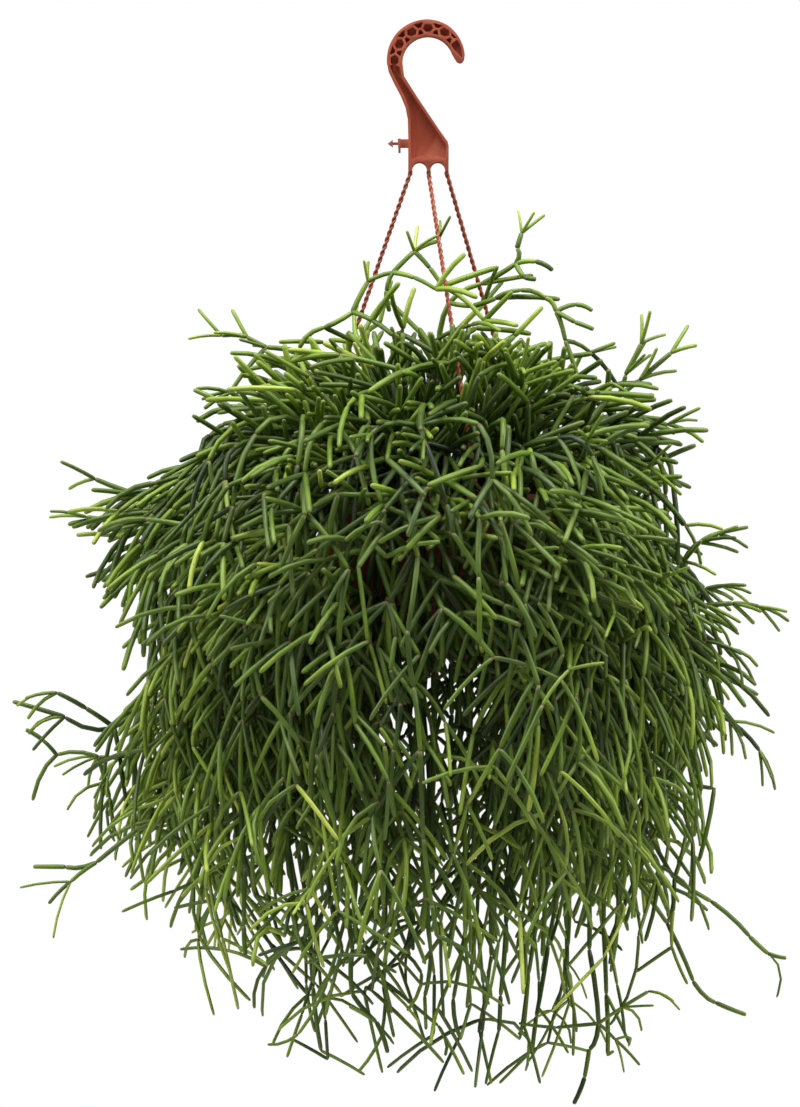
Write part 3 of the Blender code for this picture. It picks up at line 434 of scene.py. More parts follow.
def soil_material():
    """Dark peat with paler fibres and grit."""
    made = plain_material("peat", (0.045, 0.028, 0.018), 0.95)
    tree = made.node_tree
    crumbs = noise(tree, add_node(tree, "TexCoord").outputs["Object"], 420, 5, 0.7)
    set_inputs(tree, shader_of(tree), {
        "Base Color": ramp(tree, crumbs, SOIL_COLOURS),
        "Normal": bump(tree, crumbs, 0.9, 1.5 * MM)})
    return made


# Mesh helpers


def mesh_object(name, bm, surface=None, smooth_angle=None):
    """A scene object from a bmesh, which is freed."""
    bmesh.ops.recalc_face_normals(bm, faces=bm.faces)
    mesh = bpy.data.meshes.new(name)
    bm.to_mesh(mesh)
    bm.free()
    if surface:
        mesh.materials.append(surface)
    if smooth_angle:
        smooth(mesh, smooth_angle)
    return add_object(name, mesh)


def smooth(mesh, angle):
    mesh.shade_smooth()
    mesh.set_sharp_from_angle(angle=math.radians(angle))


def apply_modifiers(target):
    """Bakes an object's modifiers into its mesh."""
    bpy.context.view_layer.update()
    graph = bpy.context.evaluated_depsgraph_get()
    made = bpy.data.meshes.new_from_object(target.evaluated_get(graph))
    target.modifiers.clear()
    target.data = made


def combine(target, others, operation):
    """Join the others to the target, or cut them from it, in one Boolean, and remove them."""
    helpers = bpy.data.collections.new("helpers")
    for other in others:
        helpers.objects.link(other)
    boolean = target.modifiers.new(operation.title(), "BOOLEAN")
    boolean.operation = operation
    boolean.operand_type = "COLLECTION"
    boolean.collection = helpers
    boolean.solver = "EXACT"
    apply_modifiers(target)
    for other in others:
        bpy.data.objects.remove(other)
    bpy.data.collections.remove(helpers)


def round_edges(target, width, angle, surface):
    """Rounds the sharp edges of a solid, shades it smooth and gives it its surface."""
    bevel = target.modifiers.new("Rounding", "BEVEL")
    bevel.width = width
    bevel.segments = 2
    bevel.limit_method = "ANGLE"
    bevel.angle_limit = math.radians(angle)
    apply_modifiers(target)
    smooth(target.data, 60)
    target.data.materials.clear()
    target.data.materials.append(surface)


def block(name, corners, push):
    """A straight block: the face with these corners, drawn out along a vector."""
    bm = bmesh.new()
    face = bm.faces.new([bm.verts.new(corner) for corner in corners])
    grown = bmesh.ops.extrude_face_region(bm, geom=[face])["geom"]
    moved = [part for part in grown if isinstance(part, bmesh.types.BMVert)]
    bmesh.ops.translate(bm, verts=moved, vec=push)
    return mesh_object(name, bm)


def add_ring(bm, radius, height, sides):
    """New corners on a level circle about the Z axis, or one corner for all on the axis."""
    if radius < 1e-6:
        return [bm.verts.new((0, 0, height))] * sides
    return [bm.verts.new((*polar(radius, 360 * i / sides), height)) for i in range(sides)]


def join_rings(bm, rings):
    """Faces between each ring of corners and the next."""
    for ring, after in zip(rings, rings[1:]):
        for i in range(len(ring)):
            j = (i + 1) % len(ring)
            corners = list(dict.fromkeys((ring[i], ring[j], after[j], after[i])))
            if len(corners) > 2:
                bm.faces.new(corners)


def add_tube(bm, points, radii, sides):
    """A closed tube along points, with its own radius at each."""
    points = [Vector(point) for point in points]
    along = [(b - a).normalized() for a, b in zip(points, points[1:])]
    side = along[0].orthogonal().normalized()
    rings = []
    for i, (point, radius) in enumerate(zip(points, radii)):
        heading = (along[max(i - 1, 0)] + along[min(i, len(along) - 1)]).normalized()
        side = (side - heading * side.dot(heading)).normalized()
        across = heading.cross(side)
        turns = [math.tau * k / sides for k in range(sides)]
        rings.append([bm.verts.new(point + (side * math.cos(t) + across * math.sin(t)) * radius)
                      for t in turns])
    join_rings(bm, rings)
    bm.faces.new(rings[0][::-1])
    bm.faces.new(rings[-1])


def finish_piece(piece, slot, *nodes):
    """Ties a piece to the part: what it rides on and the solids it stands for; the slot for its
    finish is not used.
    """
    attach(piece, "root")
    if nodes:
        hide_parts(*nodes)


# The hook, in millimetres until its blocks are made


def prism(name, outline, near, far):
    """A straight block between two depths along Y, from an outline of (x, z) points."""
    corners = [(x * MM, near * MM, z * MM) for x, z in outline]
    return block(name, corners, (0, (far - near) * MM, 0))


def hook_polar(angle, radius):
    """The point (x, z) at this angle and radius about the middle of the hook's round."""
    x, z = polar(radius, angle)
    return x, z - HOOK_INNER_RADIUS


def hook_outer_radius(angle):
    """Radius of the hook's outer edge: full over the top and left, and less towards the tip."""
    return float(np.interp(angle, HOOK_OUTER_ANGLES, HOOK_OUTER_RADII))


def hook_outline():
    """The hook seen from the front: its arc, the shank and the three legs over the strands."""
    outer = [hook_polar(angle, hook_outer_radius(angle)) for angle in range(10, 181, 5)]
    lift = math.degrees(math.asin((HOOK_BASE - ARCH_HEIGHT) / ARCH_RADIUS))
    arches = []
    for centre in ARCH_CENTRES:
        for angle in np.linspace(180 - lift, lift, 17):
            x, z = polar(ARCH_RADIUS, angle)
            arches.append((centre + x, ARCH_HEIGHT + z))
    inner = [hook_polar(angle, HOOK_INNER_RADIUS) for angle in range(190, 19, -5)]
    return outer + HOOK_LEFT + arches + HOOK_RIGHT + inner + HOOK_TIP


def honeycomb_cells():
    """Outlines of the hexagonal cells along the arc and of the small cells between them."""
    near = HOOK_INNER_RADIUS + HOOK_FLANGE
    length = math.degrees(HEX_HALF_LENGTH / HEX_MIDDLE)
    cells = [[hook_polar(angle + length * along, HEX_MIDDLE + HEX_HALF_WIDTH * out)
              for along, out in HEX_CORNERS] for angle in HEX_ANGLES]
    for angle in [(a + b) / 2 for a, b in zip(HEX_ANGLES, HEX_ANGLES[1:])] + [HEX_LAST_GAP]:
        far = hook_outer_radius(angle) - HOOK_FLANGE
        out, back = HEX_MIDDLE + HEX_RIB, HEX_MIDDLE - HEX_RIB
        for corners in (((-7, far), (7, far), (2.5, out), (-2.5, out)),
                        ((-6, near), (-2, back), (2, back), (6, near))):
            cells.append([hook_polar(angle + turn, radius) for turn, radius in corners])
    return cells


def tip_recess():
    near = HOOK_INNER_RADIUS + HOOK_FLANGE + 0.2
    outer = [hook_polar(a, hook_outer_radius(a) - HOOK_FLANGE) for a in (6, 14, 22, 30, 37)]
    return outer + [hook_polar(a, near) for a in (37, 24)]


def make_hook(surface):
    hook = prism("hook_moulding", hook_outline(), -HOOK_DEPTH / 2, HOOK_DEPTH / 2)
    recesses = [prism("recess", outline, side * HOOK_WEB / 2, side * HOOK_DEPTH)
                for outline in honeycomb_cells() + [tip_recess(), SHANK_RECESS]
                for side in (-1, 1)]
    combine(hook, recesses, "DIFFERENCE")
    clip = [prism(name, outline, -half, half) for name, (outline, half) in CLIP_BLOCKS.items()]
    combine(hook, clip, "UNION")
    round_edges(hook, HOOK_ROUNDING, 25, surface)
    finish_piece(hook, "red_plastic", "hook")


# The pot, its lugs and the soil


def pot_radius(height):
    """Outer radius of the pot's wall at a height."""
    share = (height - POT_BASE) / POT_HEIGHT
    return BASE_RADIUS + (RIM_RADIUS - BASE_RADIUS) * share


def pot_profile():
    """The wall, the base with its raised middle, and the lip that turns down outside the rim."""
    base, rim, top, wall = (size / MM for size in (BASE_RADIUS, RIM_RADIUS, POT_HEIGHT, WALL))
    lip = rim + LIP_WIDTH / MM
    under = top - LIP_DROP / MM
    return [(radius * MM, height * MM) for radius, height in (
        (0, 5), (base - 12, 5), (base - 9, 0), (base, 0), (rim - 4, top - 14), (rim, top - 3),
        (lip - wall, top - 3), (lip - wall, under), (lip, under), (lip, top), (rim - wall, top),
        (rim - 4 - wall, top - 14), (base - wall, 2), (base - 7.5, 2), (base - 10.5, 7), (0, 7))]


def lug(azimuth):
    """A round-ended tab on the lip, still without its hole."""
    outline = [(LUG_HALF_WIDTH, RIM_RADIUS + 0.6 * MM), (-LUG_HALF_WIDTH, RIM_RADIUS + 0.6 * MM)]
    for angle in range(-90, 91, 10):
        out, aside = polar(1, angle)
        outline.append((LUG_HALF_WIDTH * aside, LUG_HOLE_AT + LUG_ROUND * out))
    x, y = polar(1, azimuth)
    corners = [(out * x - aside * y, out * y + aside * x, POT_HEIGHT - 0.2 * MM)
               for aside, out in outline]
    return block("lug", corners, (0, 0, -LUG_THICKNESS))


def upright_rod(radius, azimuth, away, bottom, top):
    """A straight upright cylinder beside the axis, used to cut a hole."""
    x, y = polar(away, azimuth)
    bm = bmesh.new()
    add_tube(bm, [(x, y, bottom), (x, y, top)], [radius] * 2, HOLE_SIDES)
    return mesh_object("rod", bm)


def make_pot(surface):
    bm = bmesh.new()
    rings = [add_ring(bm, radius, height, POT_SIDES) for radius, height in pot_profile()]
    join_rings(bm, rings + rings[:1])
    pot = mesh_object("pot_moulding", bm)
    combine(pot, [lug(azimuth) for azimuth in LUG_AZIMUTHS], "UNION")
    holes = [upright_rod(LUG_HOLE_RADIUS, azimuth, LUG_HOLE_AT, POT_HEIGHT - 20 * MM,
                         POT_HEIGHT + 10 * MM) for azimuth in LUG_AZIMUTHS]
    holes += [upright_rod(DRAIN_RADIUS, 360 * (i + 0.5) / DRAIN_HOLES, BASE_RADIUS * 0.5,
                          -5 * MM, 20 * MM) for i in range(DRAIN_HOLES)]
    combine(pot, holes, "DIFFERENCE")
    round_edges(pot, POT_ROUNDING, 30, surface)
    pot.data.transform(Matrix.Translation((POT_AXIS_X, 0, POT_BASE)))
    finish_piece(pot, "red_plastic", "pot")


def make_soil(surface):
    """Crumbly soil that fills the pot up to just under the rim."""
    bottom = SOIL_TOP - SOIL_DEPTH
    draw = np.random.default_rng(5)
    waves = [(draw.uniform(120, 900), draw.uniform(0, math.tau), draw.uniform(0, math.tau))
             for _ in range(SOIL_WAVES)]
    top_radius = pot_radius(SOIL_TOP) - WALL - SOIL_ROOM
    bm = bmesh.new()
    rings = [add_ring(bm, 0, SOIL_TOP, SOIL_SIDES)]
    for number in range(1, SOIL_RINGS + 1):
        calm = min(1, (SOIL_RINGS - number) / 3)
        ring = add_ring(bm, top_radius * number / SOIL_RINGS, SOIL_TOP - 0.6 * MM, SOIL_SIDES)
        for corner in ring:
            x, y, _ = corner.co
            corner.co.z += calm * SOIL_LUMP * sum(
                math.sin(k * (x * math.cos(a) + y * math.sin(a)) + b) for k, a, b in waves) / 6
        rings.append(ring)
    rings.append(add_ring(bm, pot_radius(bottom) - WALL - SOIL_FOOT_ROOM, bottom, SOIL_SIDES))
    join_rings(bm, rings)
    bm.faces.new(rings[-1])
    soil = mesh_object("soil_crumbs", bm, surface, 180)
    soil.data.transform(Matrix.Translation((POT_AXIS_X, 0, 0)))
    finish_piece(soil, "potting_soil", "soil")


# The strands


def strand_path(index):
    """A strand's points: straight from the hook to above its lug, then down through the hole."""
    lug_point = about_pot(LUG_AZIMUTHS[index], LUG_HOLE_AT, RIM_TOP)
    top = np.array((STRAND_TOPS[index], 0, STRAND_TOP_HEIGHT))
    return [top, lug_point + mm(0, 0, 9), lug_point + mm(0, 0, 5), lug_point - mm(0, 0, 4.2)]


def make_strand(index, surface):
    """Two twisted plies, with the collar over the lug and the barb that holds under it."""
    start, end, low, foot = strand_path(index)
    length = float(np.linalg.norm(end - start))
    along = (end - start) / length
    side = unit(np.cross(along, (0, 1, 0)))
    across = np.cross(along, side)
    steps = int(length / PLY_STEP)
    bm = bmesh.new()
    for ply in range(2):
        points = []
        for i in range(steps + 1):
            share = i / steps
            turn = math.pi * ply + math.tau * length * share / PLY_PITCH + index
            points.append(start + along * length * share
                          + PLY_OFFSET * (side * math.cos(turn) + across * math.sin(turn)))
        add_tube(bm, points, [PLY_RADIUS] * len(points), PLY_SIDES)
    seat = about_pot(LUG_AZIMUTHS[index], LUG_HOLE_AT, RIM_TOP)
    barb = foot + mm(0, 0, 0.6)
    add_tube(bm, [start + mm(0, 0, 0.7), start - mm(0, 0, 1.2)], mm(1.5, 1.35), CUFF_SIDES)
    add_tube(bm, [end - along * 1.5 * MM, end, low, foot], mm(1.5, 1.5, 1.45, 1.4), CUFF_SIDES)
    add_tube(bm, [seat + mm(0, 0, up) for up in (0.2, 0.5, 1.9, 2.2)], mm(2.5, 2.8, 2.8, 2.5),
             BARB_SIDES)
    add_tube(bm, [barb - mm(0, 0, down) for down in (0, 0.5, 6)], mm(2.7, 3, 0.6), BARB_SIDES)
    strand = mesh_object(f"strand_twist_{index + 1}", bm, surface, 50)
    finish_piece(strand, "red_plastic", f"strand_{index + 1}")


# Room for the stems


def outline_reach(outline, height, on_right):
    """How far an outline reaches to one side and in depth, all in millimetres."""
    heights, lefts, rights = zip(*outline)
    return (np.interp(height, heights, rights if on_right else lefts),
            np.interp(height, heights, np.add(lefts, rights) / 2))


def outline_radius(azimuth, height):
    """How far the stems reach from the pot's axis at this azimuth and height."""
    x, y = polar(1, azimuth)
    wide, deep = outline_reach(OUTLINE, height / MM, x > 0)
    return 1 / math.hypot(x / (wide * MM), y / (deep * MM))


def inside_outline(point):
    x = point[0] - POT_AXIS_X
    if not OUTLINE[0][0] < point[2] / MM < OUTLINE[-1][0]:
        return False
    azimuth = math.degrees(math.atan2(point[1], x))
    return math.hypot(x, point[1]) < outline_radius(azimuth, point[2])


def segment_gaps(start, end, starts, ends):
    """Distance from the line between two points to each of many such lines."""
    along = end - start
    others = ends - starts
    apart = start - starts
    a = along @ along
    e = np.einsum("ij,ij->i", others, others) + 1e-12
    f = np.einsum("ij,ij->i", others, apart)
    c = apart @ along
    b = others @ along
    spread = a * e - b * b
    s = np.clip((b * f - c * e) / np.where(spread > 1e-14, spread, np.inf), 0, 1)
    t = np.clip((b * s + f) / e, 0, 1)
    s = np.clip((b * t - c) / a, 0, 1)
    offset = apart + s[:, None] * along - t[:, None] * others
    return np.sqrt(np.einsum("ij,ij->i", offset, offset))


class Thicket:
    """Every straight piece laid so far, filed by the cells of a coarse grid that it passes."""

    def __init__(self):
        self.starts = np.zeros((THICKET_ROOM, 3))
        self.ends = np.zeros((THICKET_ROOM, 3))
        self.radii = np.zeros(THICKET_ROOM)
        self.cells = {}
        self.count = 0

    def cells_near(self, start, end, reach):
        low = np.floor((np.minimum(start, end) - reach) / CELL).astype(int)
        high = np.floor((np.maximum(start, end) + reach) / CELL).astype(int) + 1
        return itertools.product(*(range(a, b) for a, b in zip(low, high)))

    def add(self, start, end, radius):
        self.starts[self.count] = start
        self.ends[self.count] = end
        self.radii[self.count] = radius
        for cell in self.cells_near(start, end, radius):
            self.cells.setdefault(cell, []).append(self.count)
        self.count += 1

    def add_run(self, points, radii):
        for start, end, radius in zip(points, points[1:], radii):
            self.add(start, end, radius)

    def is_clear(self, start, end, radius, gap=STEM_GAP):
        """True where the piece clears the pot and all pieces that don't meet its start."""
        if not clear_of_pot(start, end, radius):
            return False
        near = set()
        for cell in self.cells_near(start, end, radius + max(gap, 0)):
            near.update(self.cells.get(cell, ()))
        near = np.array(sorted(near), int)
        near = near[near < self.count]
        if not len(near):
            return True
        starts = self.starts[near]
        ends = self.ends[near]
        meets = np.minimum(np.abs(starts - start).max(axis=1),
                           np.abs(ends - start).max(axis=1)) < TOUCH
        gaps = segment_gaps(start, end, starts, ends) - self.radii[near] - radius
        return bool((gaps[~meets] > gap).all())


def clear_of_pot(start, end, radius):
    """True where a piece stays off the pot's wall and lip, the soil and the space in the wall."""
    room = radius + STEM_GAP
    for share in np.linspace(0, 1, WALL_CHECKS):
        x, y, z = start + (end - start) * share
        out = math.hypot(x - POT_AXIS_X, y)
        if z > RIM_TOP + room or z < POT_BASE - room:
            continue
        inside = out < RIM_RADIUS - INNER_STEP - room and z > SOIL_TOP + room
        edge = RIM_RADIUS + LIP_WIDTH if z > RIM_TOP - LIP_DROP - room else pot_radius(z)
        if not inside and out < edge + room:
            return False
    return True


# The lines of the stems, as in the solids


def smooth_route(points, step):
    """Points a short step apart on a smooth curve through the given ones."""
    points = [2 * points[0] - points[1]] + list(points) + [2 * points[-1] - points[-2]]
    curve = []
    for a, b, c, d in zip(points, points[1:], points[2:], points[3:]):
        steps = max(int(np.linalg.norm(c - b) / step), 1)
        for i in range(steps):
            t = i / steps
            curve.append(0.5 * (2 * b + (c - a) * t + (2 * a - 5 * b + 4 * c - d) * t ** 2
                                + (3 * b - 3 * c + d - a) * t ** 3))
    curve.append(points[-2])
    return curve


def outward(point):
    """The level direction from the pot's axis to a point."""
    away = np.array((point[0] - POT_AXIS_X, point[1], 0))
    return away / (np.linalg.norm(away) + 1e-9)


def random_direction(draw):
    return np.array([draw.gauss(0, 1) for _ in range(3)]) / math.sqrt(3)


def lean(point):
    """The way that young stems turn: up on the dome, out at the sides, and down below."""
    lift = np.interp(point[2] / MM, LEAN_HEIGHTS, LEAN_LIFTS)
    return outward(point) + np.array((0, 0, lift))


def stem_radius(share):
    """Radius along a stem, from its base at 0 to its tip at 1."""
    return BASE_STEM_RADIUS + (TIP_STEM_RADIUS - BASE_STEM_RADIUS) * min(share, 1) ** 0.6


class Run:
    """One unbranched line of pieces, whose joints can carry further runs."""

    def __init__(self, points, share=0.0, share_step=SHARE_STEP):
        self.points = points
        self.shares = [share + share_step * i for i in range(len(points))]

    def radii(self):
        return [stem_radius(share) for share in self.shares]


def jointed_run(thicket, draw, route, gap=STEM_GAP):
    """A main stem: straight pieces of random length along a route, each clear of the rest."""
    curve = smooth_route(route, ROUTE_STEP)
    points = [curve[0]]
    at = 0
    while at < len(curve) - ROUTE_REST:
        for attempt in range(TRIES):
            length = draw.uniform(*MAIN_LENGTHS) * MM
            target = min(at + int(length / ROUTE_STEP), len(curve) - 1)
            shift = random_direction(draw) * MAIN_JITTER * (1 + attempt / 8)
            point = curve[target] + shift
            radius = stem_radius(SHARE_STEP * len(points)) * FACET_ROOM
            if thicket.is_clear(points[-1], point, radius, gap):
                break
        else:
            break
        thicket.add(points[-1], point, radius)
        points.append(point)
        at = target
    return Run(points)


def grow_twig(thicket, draw, joint, heading, share, pieces):
    """A side stem from a joint, of some pieces, or None where there is no room."""
    points = [joint]
    for _ in range(pieces):
        for attempt in range(TRIES):
            wild = 0.55 + attempt / 30
            if len(points) == 1:
                way = 0.6 * heading + 0.7 * lean(joint) * draw.random()
                way = way + random_direction(draw) * (wild + 0.35)
            else:
                way = heading + 0.22 * lean(joint) + random_direction(draw) * (wild - 0.2)
            way /= np.linalg.norm(way)
            if len(points) == 1 and way @ heading > TWIG_SAME_WAY:
                continue
            point = points[-1] + way * draw.uniform(*TWIG_LENGTHS) * MM
            radius = stem_radius(share + TWIG_SHARE_STEP * len(points)) * FACET_ROOM
            if inside_outline(point) and thicket.is_clear(points[-1], point, radius):
                break
        else:
            break
        thicket.add(points[-1], point, radius)
        points.append(point)
        heading = way
    return Run(points, share, TWIG_SHARE_STEP) if len(points) > 1 else None


def add_twigs(thicket, draw, runs, parent, chance, at_end):
    """Side stems at the joints of a run, by chance along it and as many as wanted at its end."""
    for i in range(2, len(parent.points)):
        before = parent.points[i] - parent.points[i - 1]
        heading = before / np.linalg.norm(before)
        at_tip = i == len(parent.points) - 1
        wanted = at_end if at_tip else int(chance + draw.random())
        for _ in range(wanted):
            count = 1 if at_tip else draw.randint(1, 2)
            twig = grow_twig(thicket, draw, parent.points[i], heading, parent.shares[i], count)
            if twig:
                runs.append(twig)


# The stems that stand out in the outline, in millimetres. The first line of each runs from
# just over the soil to its tip, and each other line starts at a point of a line before it.
SHOWN_STEMS = {
    "stem_arch_left": [
        [(-30, -12, -300), (-40, -17, -285), (-64, -26, -260), (-82, -30, -232), (-83, -30, -205),
         (-67, -30, -192), (-49, -28, -182), (-39, -25, -162), (-23, -22, -156), (-9, -20, -142),
         (6, -18, -135)],
        [(-9, -20, -142), (1, -22, -153), (9, -24, -165)],
        [(-23, -22, -156), (-27, -24, -168), (-25, -20, -181)],
        [(-23, -22, -156), (-9, -32, -160), (5, -38, -168)],
        [(-49, -28, -182), (-36, -38, -188), (-23, -46, -198)],
    ],
    "stem_top_right": [
        [(2, 12, -300), (3, 12, -270), (3, 10, -237), (7, 5, -205), (14, 0, -174), (35, -4, -162),
         (57, -8, -149), (58, -8, -139), (61, -6, -129)],
        [(57, -8, -149), (70, -12, -148), (81, -14, -154)],
        [(57, -8, -149), (62, -16, -158), (70, -20, -160)],
        [(14, 0, -174), (29, -12, -177), (44, -16, -172), (60, -16, -167), (76, -16, -172),
         (83, -16, -181), (89, -18, -200), (98, -20, -227)],
        [(83, -16, -181), (96, -12, -176), (107, -10, -180)],
        [(83, -16, -181), (95, -22, -188), (107, -26, -193)],
    ],
    "stem_front_top": [
        [(38, -22, -300), (40, -27, -283), (46, -40, -249), (40, -60, -213), (13, -66, -217),
         (-13, -70, -223)],
        [(40, -60, -213), (55, -56, -199), (73, -52, -180)],
    ],
    "stem_right_top": [
        [(46, 2, -300), (50, 2, -280), (60, 0, -241), (88, 0, -230), (116, 0, -242),
         (129, -4, -221), (139, -6, -201)],
        [(116, 0, -242), (139, 8, -224), (160, 12, -206)],
        [(116, 0, -242), (129, -10, -252), (156, -14, -254)],
    ],
    "stem_right_shoulder": [
        [(62, -12, -300), (70, -15, -282), (87, -20, -258), (115, -26, -272), (143, -28, -295),
         (166, -30, -320)],
    ],
    "stem_right_side": [
        [(58, -30, -300), (70, -36, -284), (92, -38, -281), (111, -34, -308), (136, -36, -342),
         (157, -36, -366), (179, -30, -361), (190, -28, -359)],
        [(157, -36, -366), (164, -42, -343), (174, -44, -331), (185, -44, -325)],
        [(157, -36, -366), (178, -44, -371), (195, -46, -370), (212, -46, -372)],
        [(157, -36, -366), (168, -38, -384), (192, -40, -399)],
    ],
    "stem_right_low": [
        [(64, 14, -300), (74, 14, -284), (97, 14, -281), (109, 12, -325), (106, 10, -382),
         (139, 14, -428), (172, 12, -437), (198, 8, -448), (217, 4, -467)],
    ],
    "stem_right_hanging": [
        [(48, -44, -300), (62, -55, -284), (86, -64, -286), (99, -58, -335), (108, -42, -388),
         (111, -30, -432), (112, -10, -472), (144, -12, -521), (160, -14, -549), (184, -14, -564),
         (209, -12, -587), (221, -12, -598), (233, -12, -601)],
        [(111, -30, -432), (143, -34, -477), (184, -36, -489)],
        [(160, -14, -549), (159, -18, -570), (158, -20, -593), (168, -22, -617)],
    ],
    "stem_right_outer": [
        [(56, 32, -300), (73, 40, -284), (99, 46, -286), (114, 38, -335), (116, 30, -400),
         (112, 22, -450), (114, 20, -500), (137, 24, -553), (158, 22, -582), (175, 20, -620),
         (190, 20, -634), (210, 20, -642)],
    ],
    "stem_right_lowest": [
        [(32, -56, -300), (43, -68, -284), (66, -88, -286), (85, -94, -335), (92, -86, -400),
         (94, -70, -450), (93, -60, -495), (101, -66, -544), (102, -66, -590), (108, -64, -637),
         (102, -66, -653), (99, -66, -671), (92, -66, -688)],
        [(108, -64, -637), (123, -62, -627), (140, -60, -617)],
        [(108, -64, -637), (81, -68, -639), (57, -70, -636)],
        [(108, -64, -637), (119, -58, -648), (135, -54, -665)],
    ],
    "stem_left_lowest": [
        [(-18, -58, -300), (-26, -72, -284), (-37, -93, -286), (-49, -102, -335),
         (-56, -102, -400), (-57, -94, -440), (-56, -90, -480), (-53, -96, -524), (-51, -98, -562),
         (-48, -104, -586), (-48, -108, -613), (-33, -112, -630), (-26, -114, -649)],
        [(-51, -98, -562), (-57, -102, -583), (-64, -106, -606), (-82, -108, -638),
         (-101, -110, -644)],
        [(-51, -98, -562), (-40, -92, -584), (-27, -88, -608), (6, -84, -636), (10, -82, -655)],
        [(-51, -98, -562), (-70, -92, -575), (-103, -88, -598), (-110, -84, -625)],
        [(-51, -98, -562), (-28, -104, -583), (-5, -108, -607)],
    ],
    "stem_left_far": [
        [(-52, -6, -300), (-62, -7, -283), (-88, -8, -271), (-122, -9, -286), (-155, -10, -316),
         (-174, -12, -349), (-176, -12, -381), (-173, -12, -414), (-204, -14, -451),
         (-236, -16, -444), (-270, -16, -434)],
        [(-204, -14, -451), (-222, -22, -438), (-240, -26, -428)],
        [(-204, -14, -451), (-200, -18, -469), (-195, -20, -505)],
        [(-173, -12, -414), (-181, -2, -441), (-190, 2, -467), (-216, 4, -471), (-243, 4, -470),
         (-259, 6, -500)],
        [(-243, 4, -470), (-252, 2, -460), (-263, 0, -453)],
    ],
    "stem_left_low": [
        [(-40, -32, -300), (-54, -42, -284), (-80, -54, -282), (-98, -56, -330), (-108, -54, -380),
         (-114, -50, -432), (-127, -52, -476), (-170, -50, -508), (-187, -48, -515),
         (-213, -46, -536), (-233, -44, -539), (-254, -42, -539)],
        [(-213, -46, -536), (-229, -50, -548), (-243, -52, -562)],
    ],
    "stem_left_top": [
        [(-18, 26, -300), (-26, 28, -275), (-45, 30, -236), (-65, 34, -213), (-84, 36, -204),
         (-107, 38, -201), (-120, 40, -194), (-137, 42, -193)],
    ],
    "stem_left_shoulder": [
        [(-44, 12, -300), (-57, 8, -282), (-78, 6, -261), (-104, 8, -257), (-133, 8, -273),
         (-162, 4, -301), (-188, 2, -300), (-218, 0, -289)],
        [(-162, 4, -301), (-191, -4, -316), (-223, -6, -314)],
    ],
    "stem_front": [
        [(8, -48, -300), (8, -66, -284), (9, -94, -276), (8, -120, -292), (-8, -132, -307),
         (-10, -146, -338), (-26, -158, -368), (-52, -166, -400), (-59, -170, -435),
         (-69, -172, -460)],
        [(-10, -146, -338), (6, -154, -354), (20, -158, -374)],
        [(-26, -158, -368), (-21, -166, -389), (-24, -170, -409), (-18, -172, -429),
         (-22, -174, -457), (-24, -174, -477)],
    ],
}

# The other stems, as groups: how many, the radius of their roots, the share of the outline's
# radius that they reach, and the height of their tips. Lengths are in millimetres.
STEM_GROUPS = {
    "dome": (12, (10, 42), (0.4, 0.8), (-250, -212)),
    "shoulder": (10, (46, 58), (0.78, 0.96), (-400, -300)),
    "curtain": (14, (60, 68), (0.55, 0.85), (-670, -450)),
}
FILL_GROUPS = {
    "dome": (36, (4, 46), (0.3, 0.9), (-262, -205)),
    "shoulder": (36, (40, 62), (0.6, 0.95), (-420, -290)),
    "curtain": (44, (50, 70), (0.5, 0.92), (-590, -380)),
    "front": (80, (30, 70), (0.40, 0.62), (-610, -340)),
    "back": (48, (30, 66), (0.40, 0.60), (-420, -320)),
}
# The first direction of the stems close in front of the pot and behind it, and their spread
AZIMUTHS = {"front": (-155, 130), "back": (25, 130)}


def place_shown_line(thicket, line, share):
    """A given line, with a point moved in depth where it would be too near another stem."""
    points = [line[0]]
    for i, wished in enumerate(line[1:]):
        radius = stem_radius(share + SHARE_STEP * i) * FACET_ROOM
        for attempt in range(TRIES):
            side = -1 if attempt % 2 else 1
            point = wished + np.array((0, side * DEPTH_STEP * attempt, 0))
            if thicket.is_clear(points[-1], point, radius):
                break
        else:
            break
        thicket.add(points[-1], point, radius)
        points.append(point)
    return Run(points, share) if len(points) > 1 else None


def on_its_root(thicket, run):
    """The run with its foot, which stands upright in a hole in the soil."""
    top = run.points[0]
    foot = np.array((top[0], top[1], SOIL_TOP - ROOT_DEPTH))
    thicket.add(foot, top, stem_radius(0) * FACET_ROOM)
    run.points.insert(0, foot)
    run.shares.append(2 * run.shares[-1] - run.shares[-2])
    return run


def place_shown_stem(thicket, lines):
    lines = [[mm(*point) for point in line] for line in lines]
    runs = [on_its_root(thicket, place_shown_line(thicket, lines[0], 0))]
    for line in lines[1:]:
        joints = [(np.linalg.norm((point - line[0]) * (1, 0, 1)), i, run)
                  for run in runs for i, point in enumerate(run.points)]
        away, i, run = min(joints, key=lambda joint: joint[0])
        if away > JOINT_REACH:
            continue
        line[0] = run.points[i]
        side = place_shown_line(thicket, line, run.shares[i])
        if side:
            runs.append(side)
    return runs


def free_root(roots, azimuth, radius, spacing):
    """The nearest place to this azimuth and radius that is clear of the other roots."""
    places = [about_pot(azimuth + turn, max(radius - inward, 0), 0)[:2]
              for turn in range(-60, 61, 4) for inward in mm(0, 5, 10, 15, 20, 25, 30)]
    wished = about_pot(azimuth, radius, 0)[:2]
    places.sort(key=lambda place: float(np.linalg.norm(place - wished)))
    for place in places:
        if all(np.linalg.norm(place - root) > spacing for root in roots):
            return place
    raise ValueError("no room for a root")


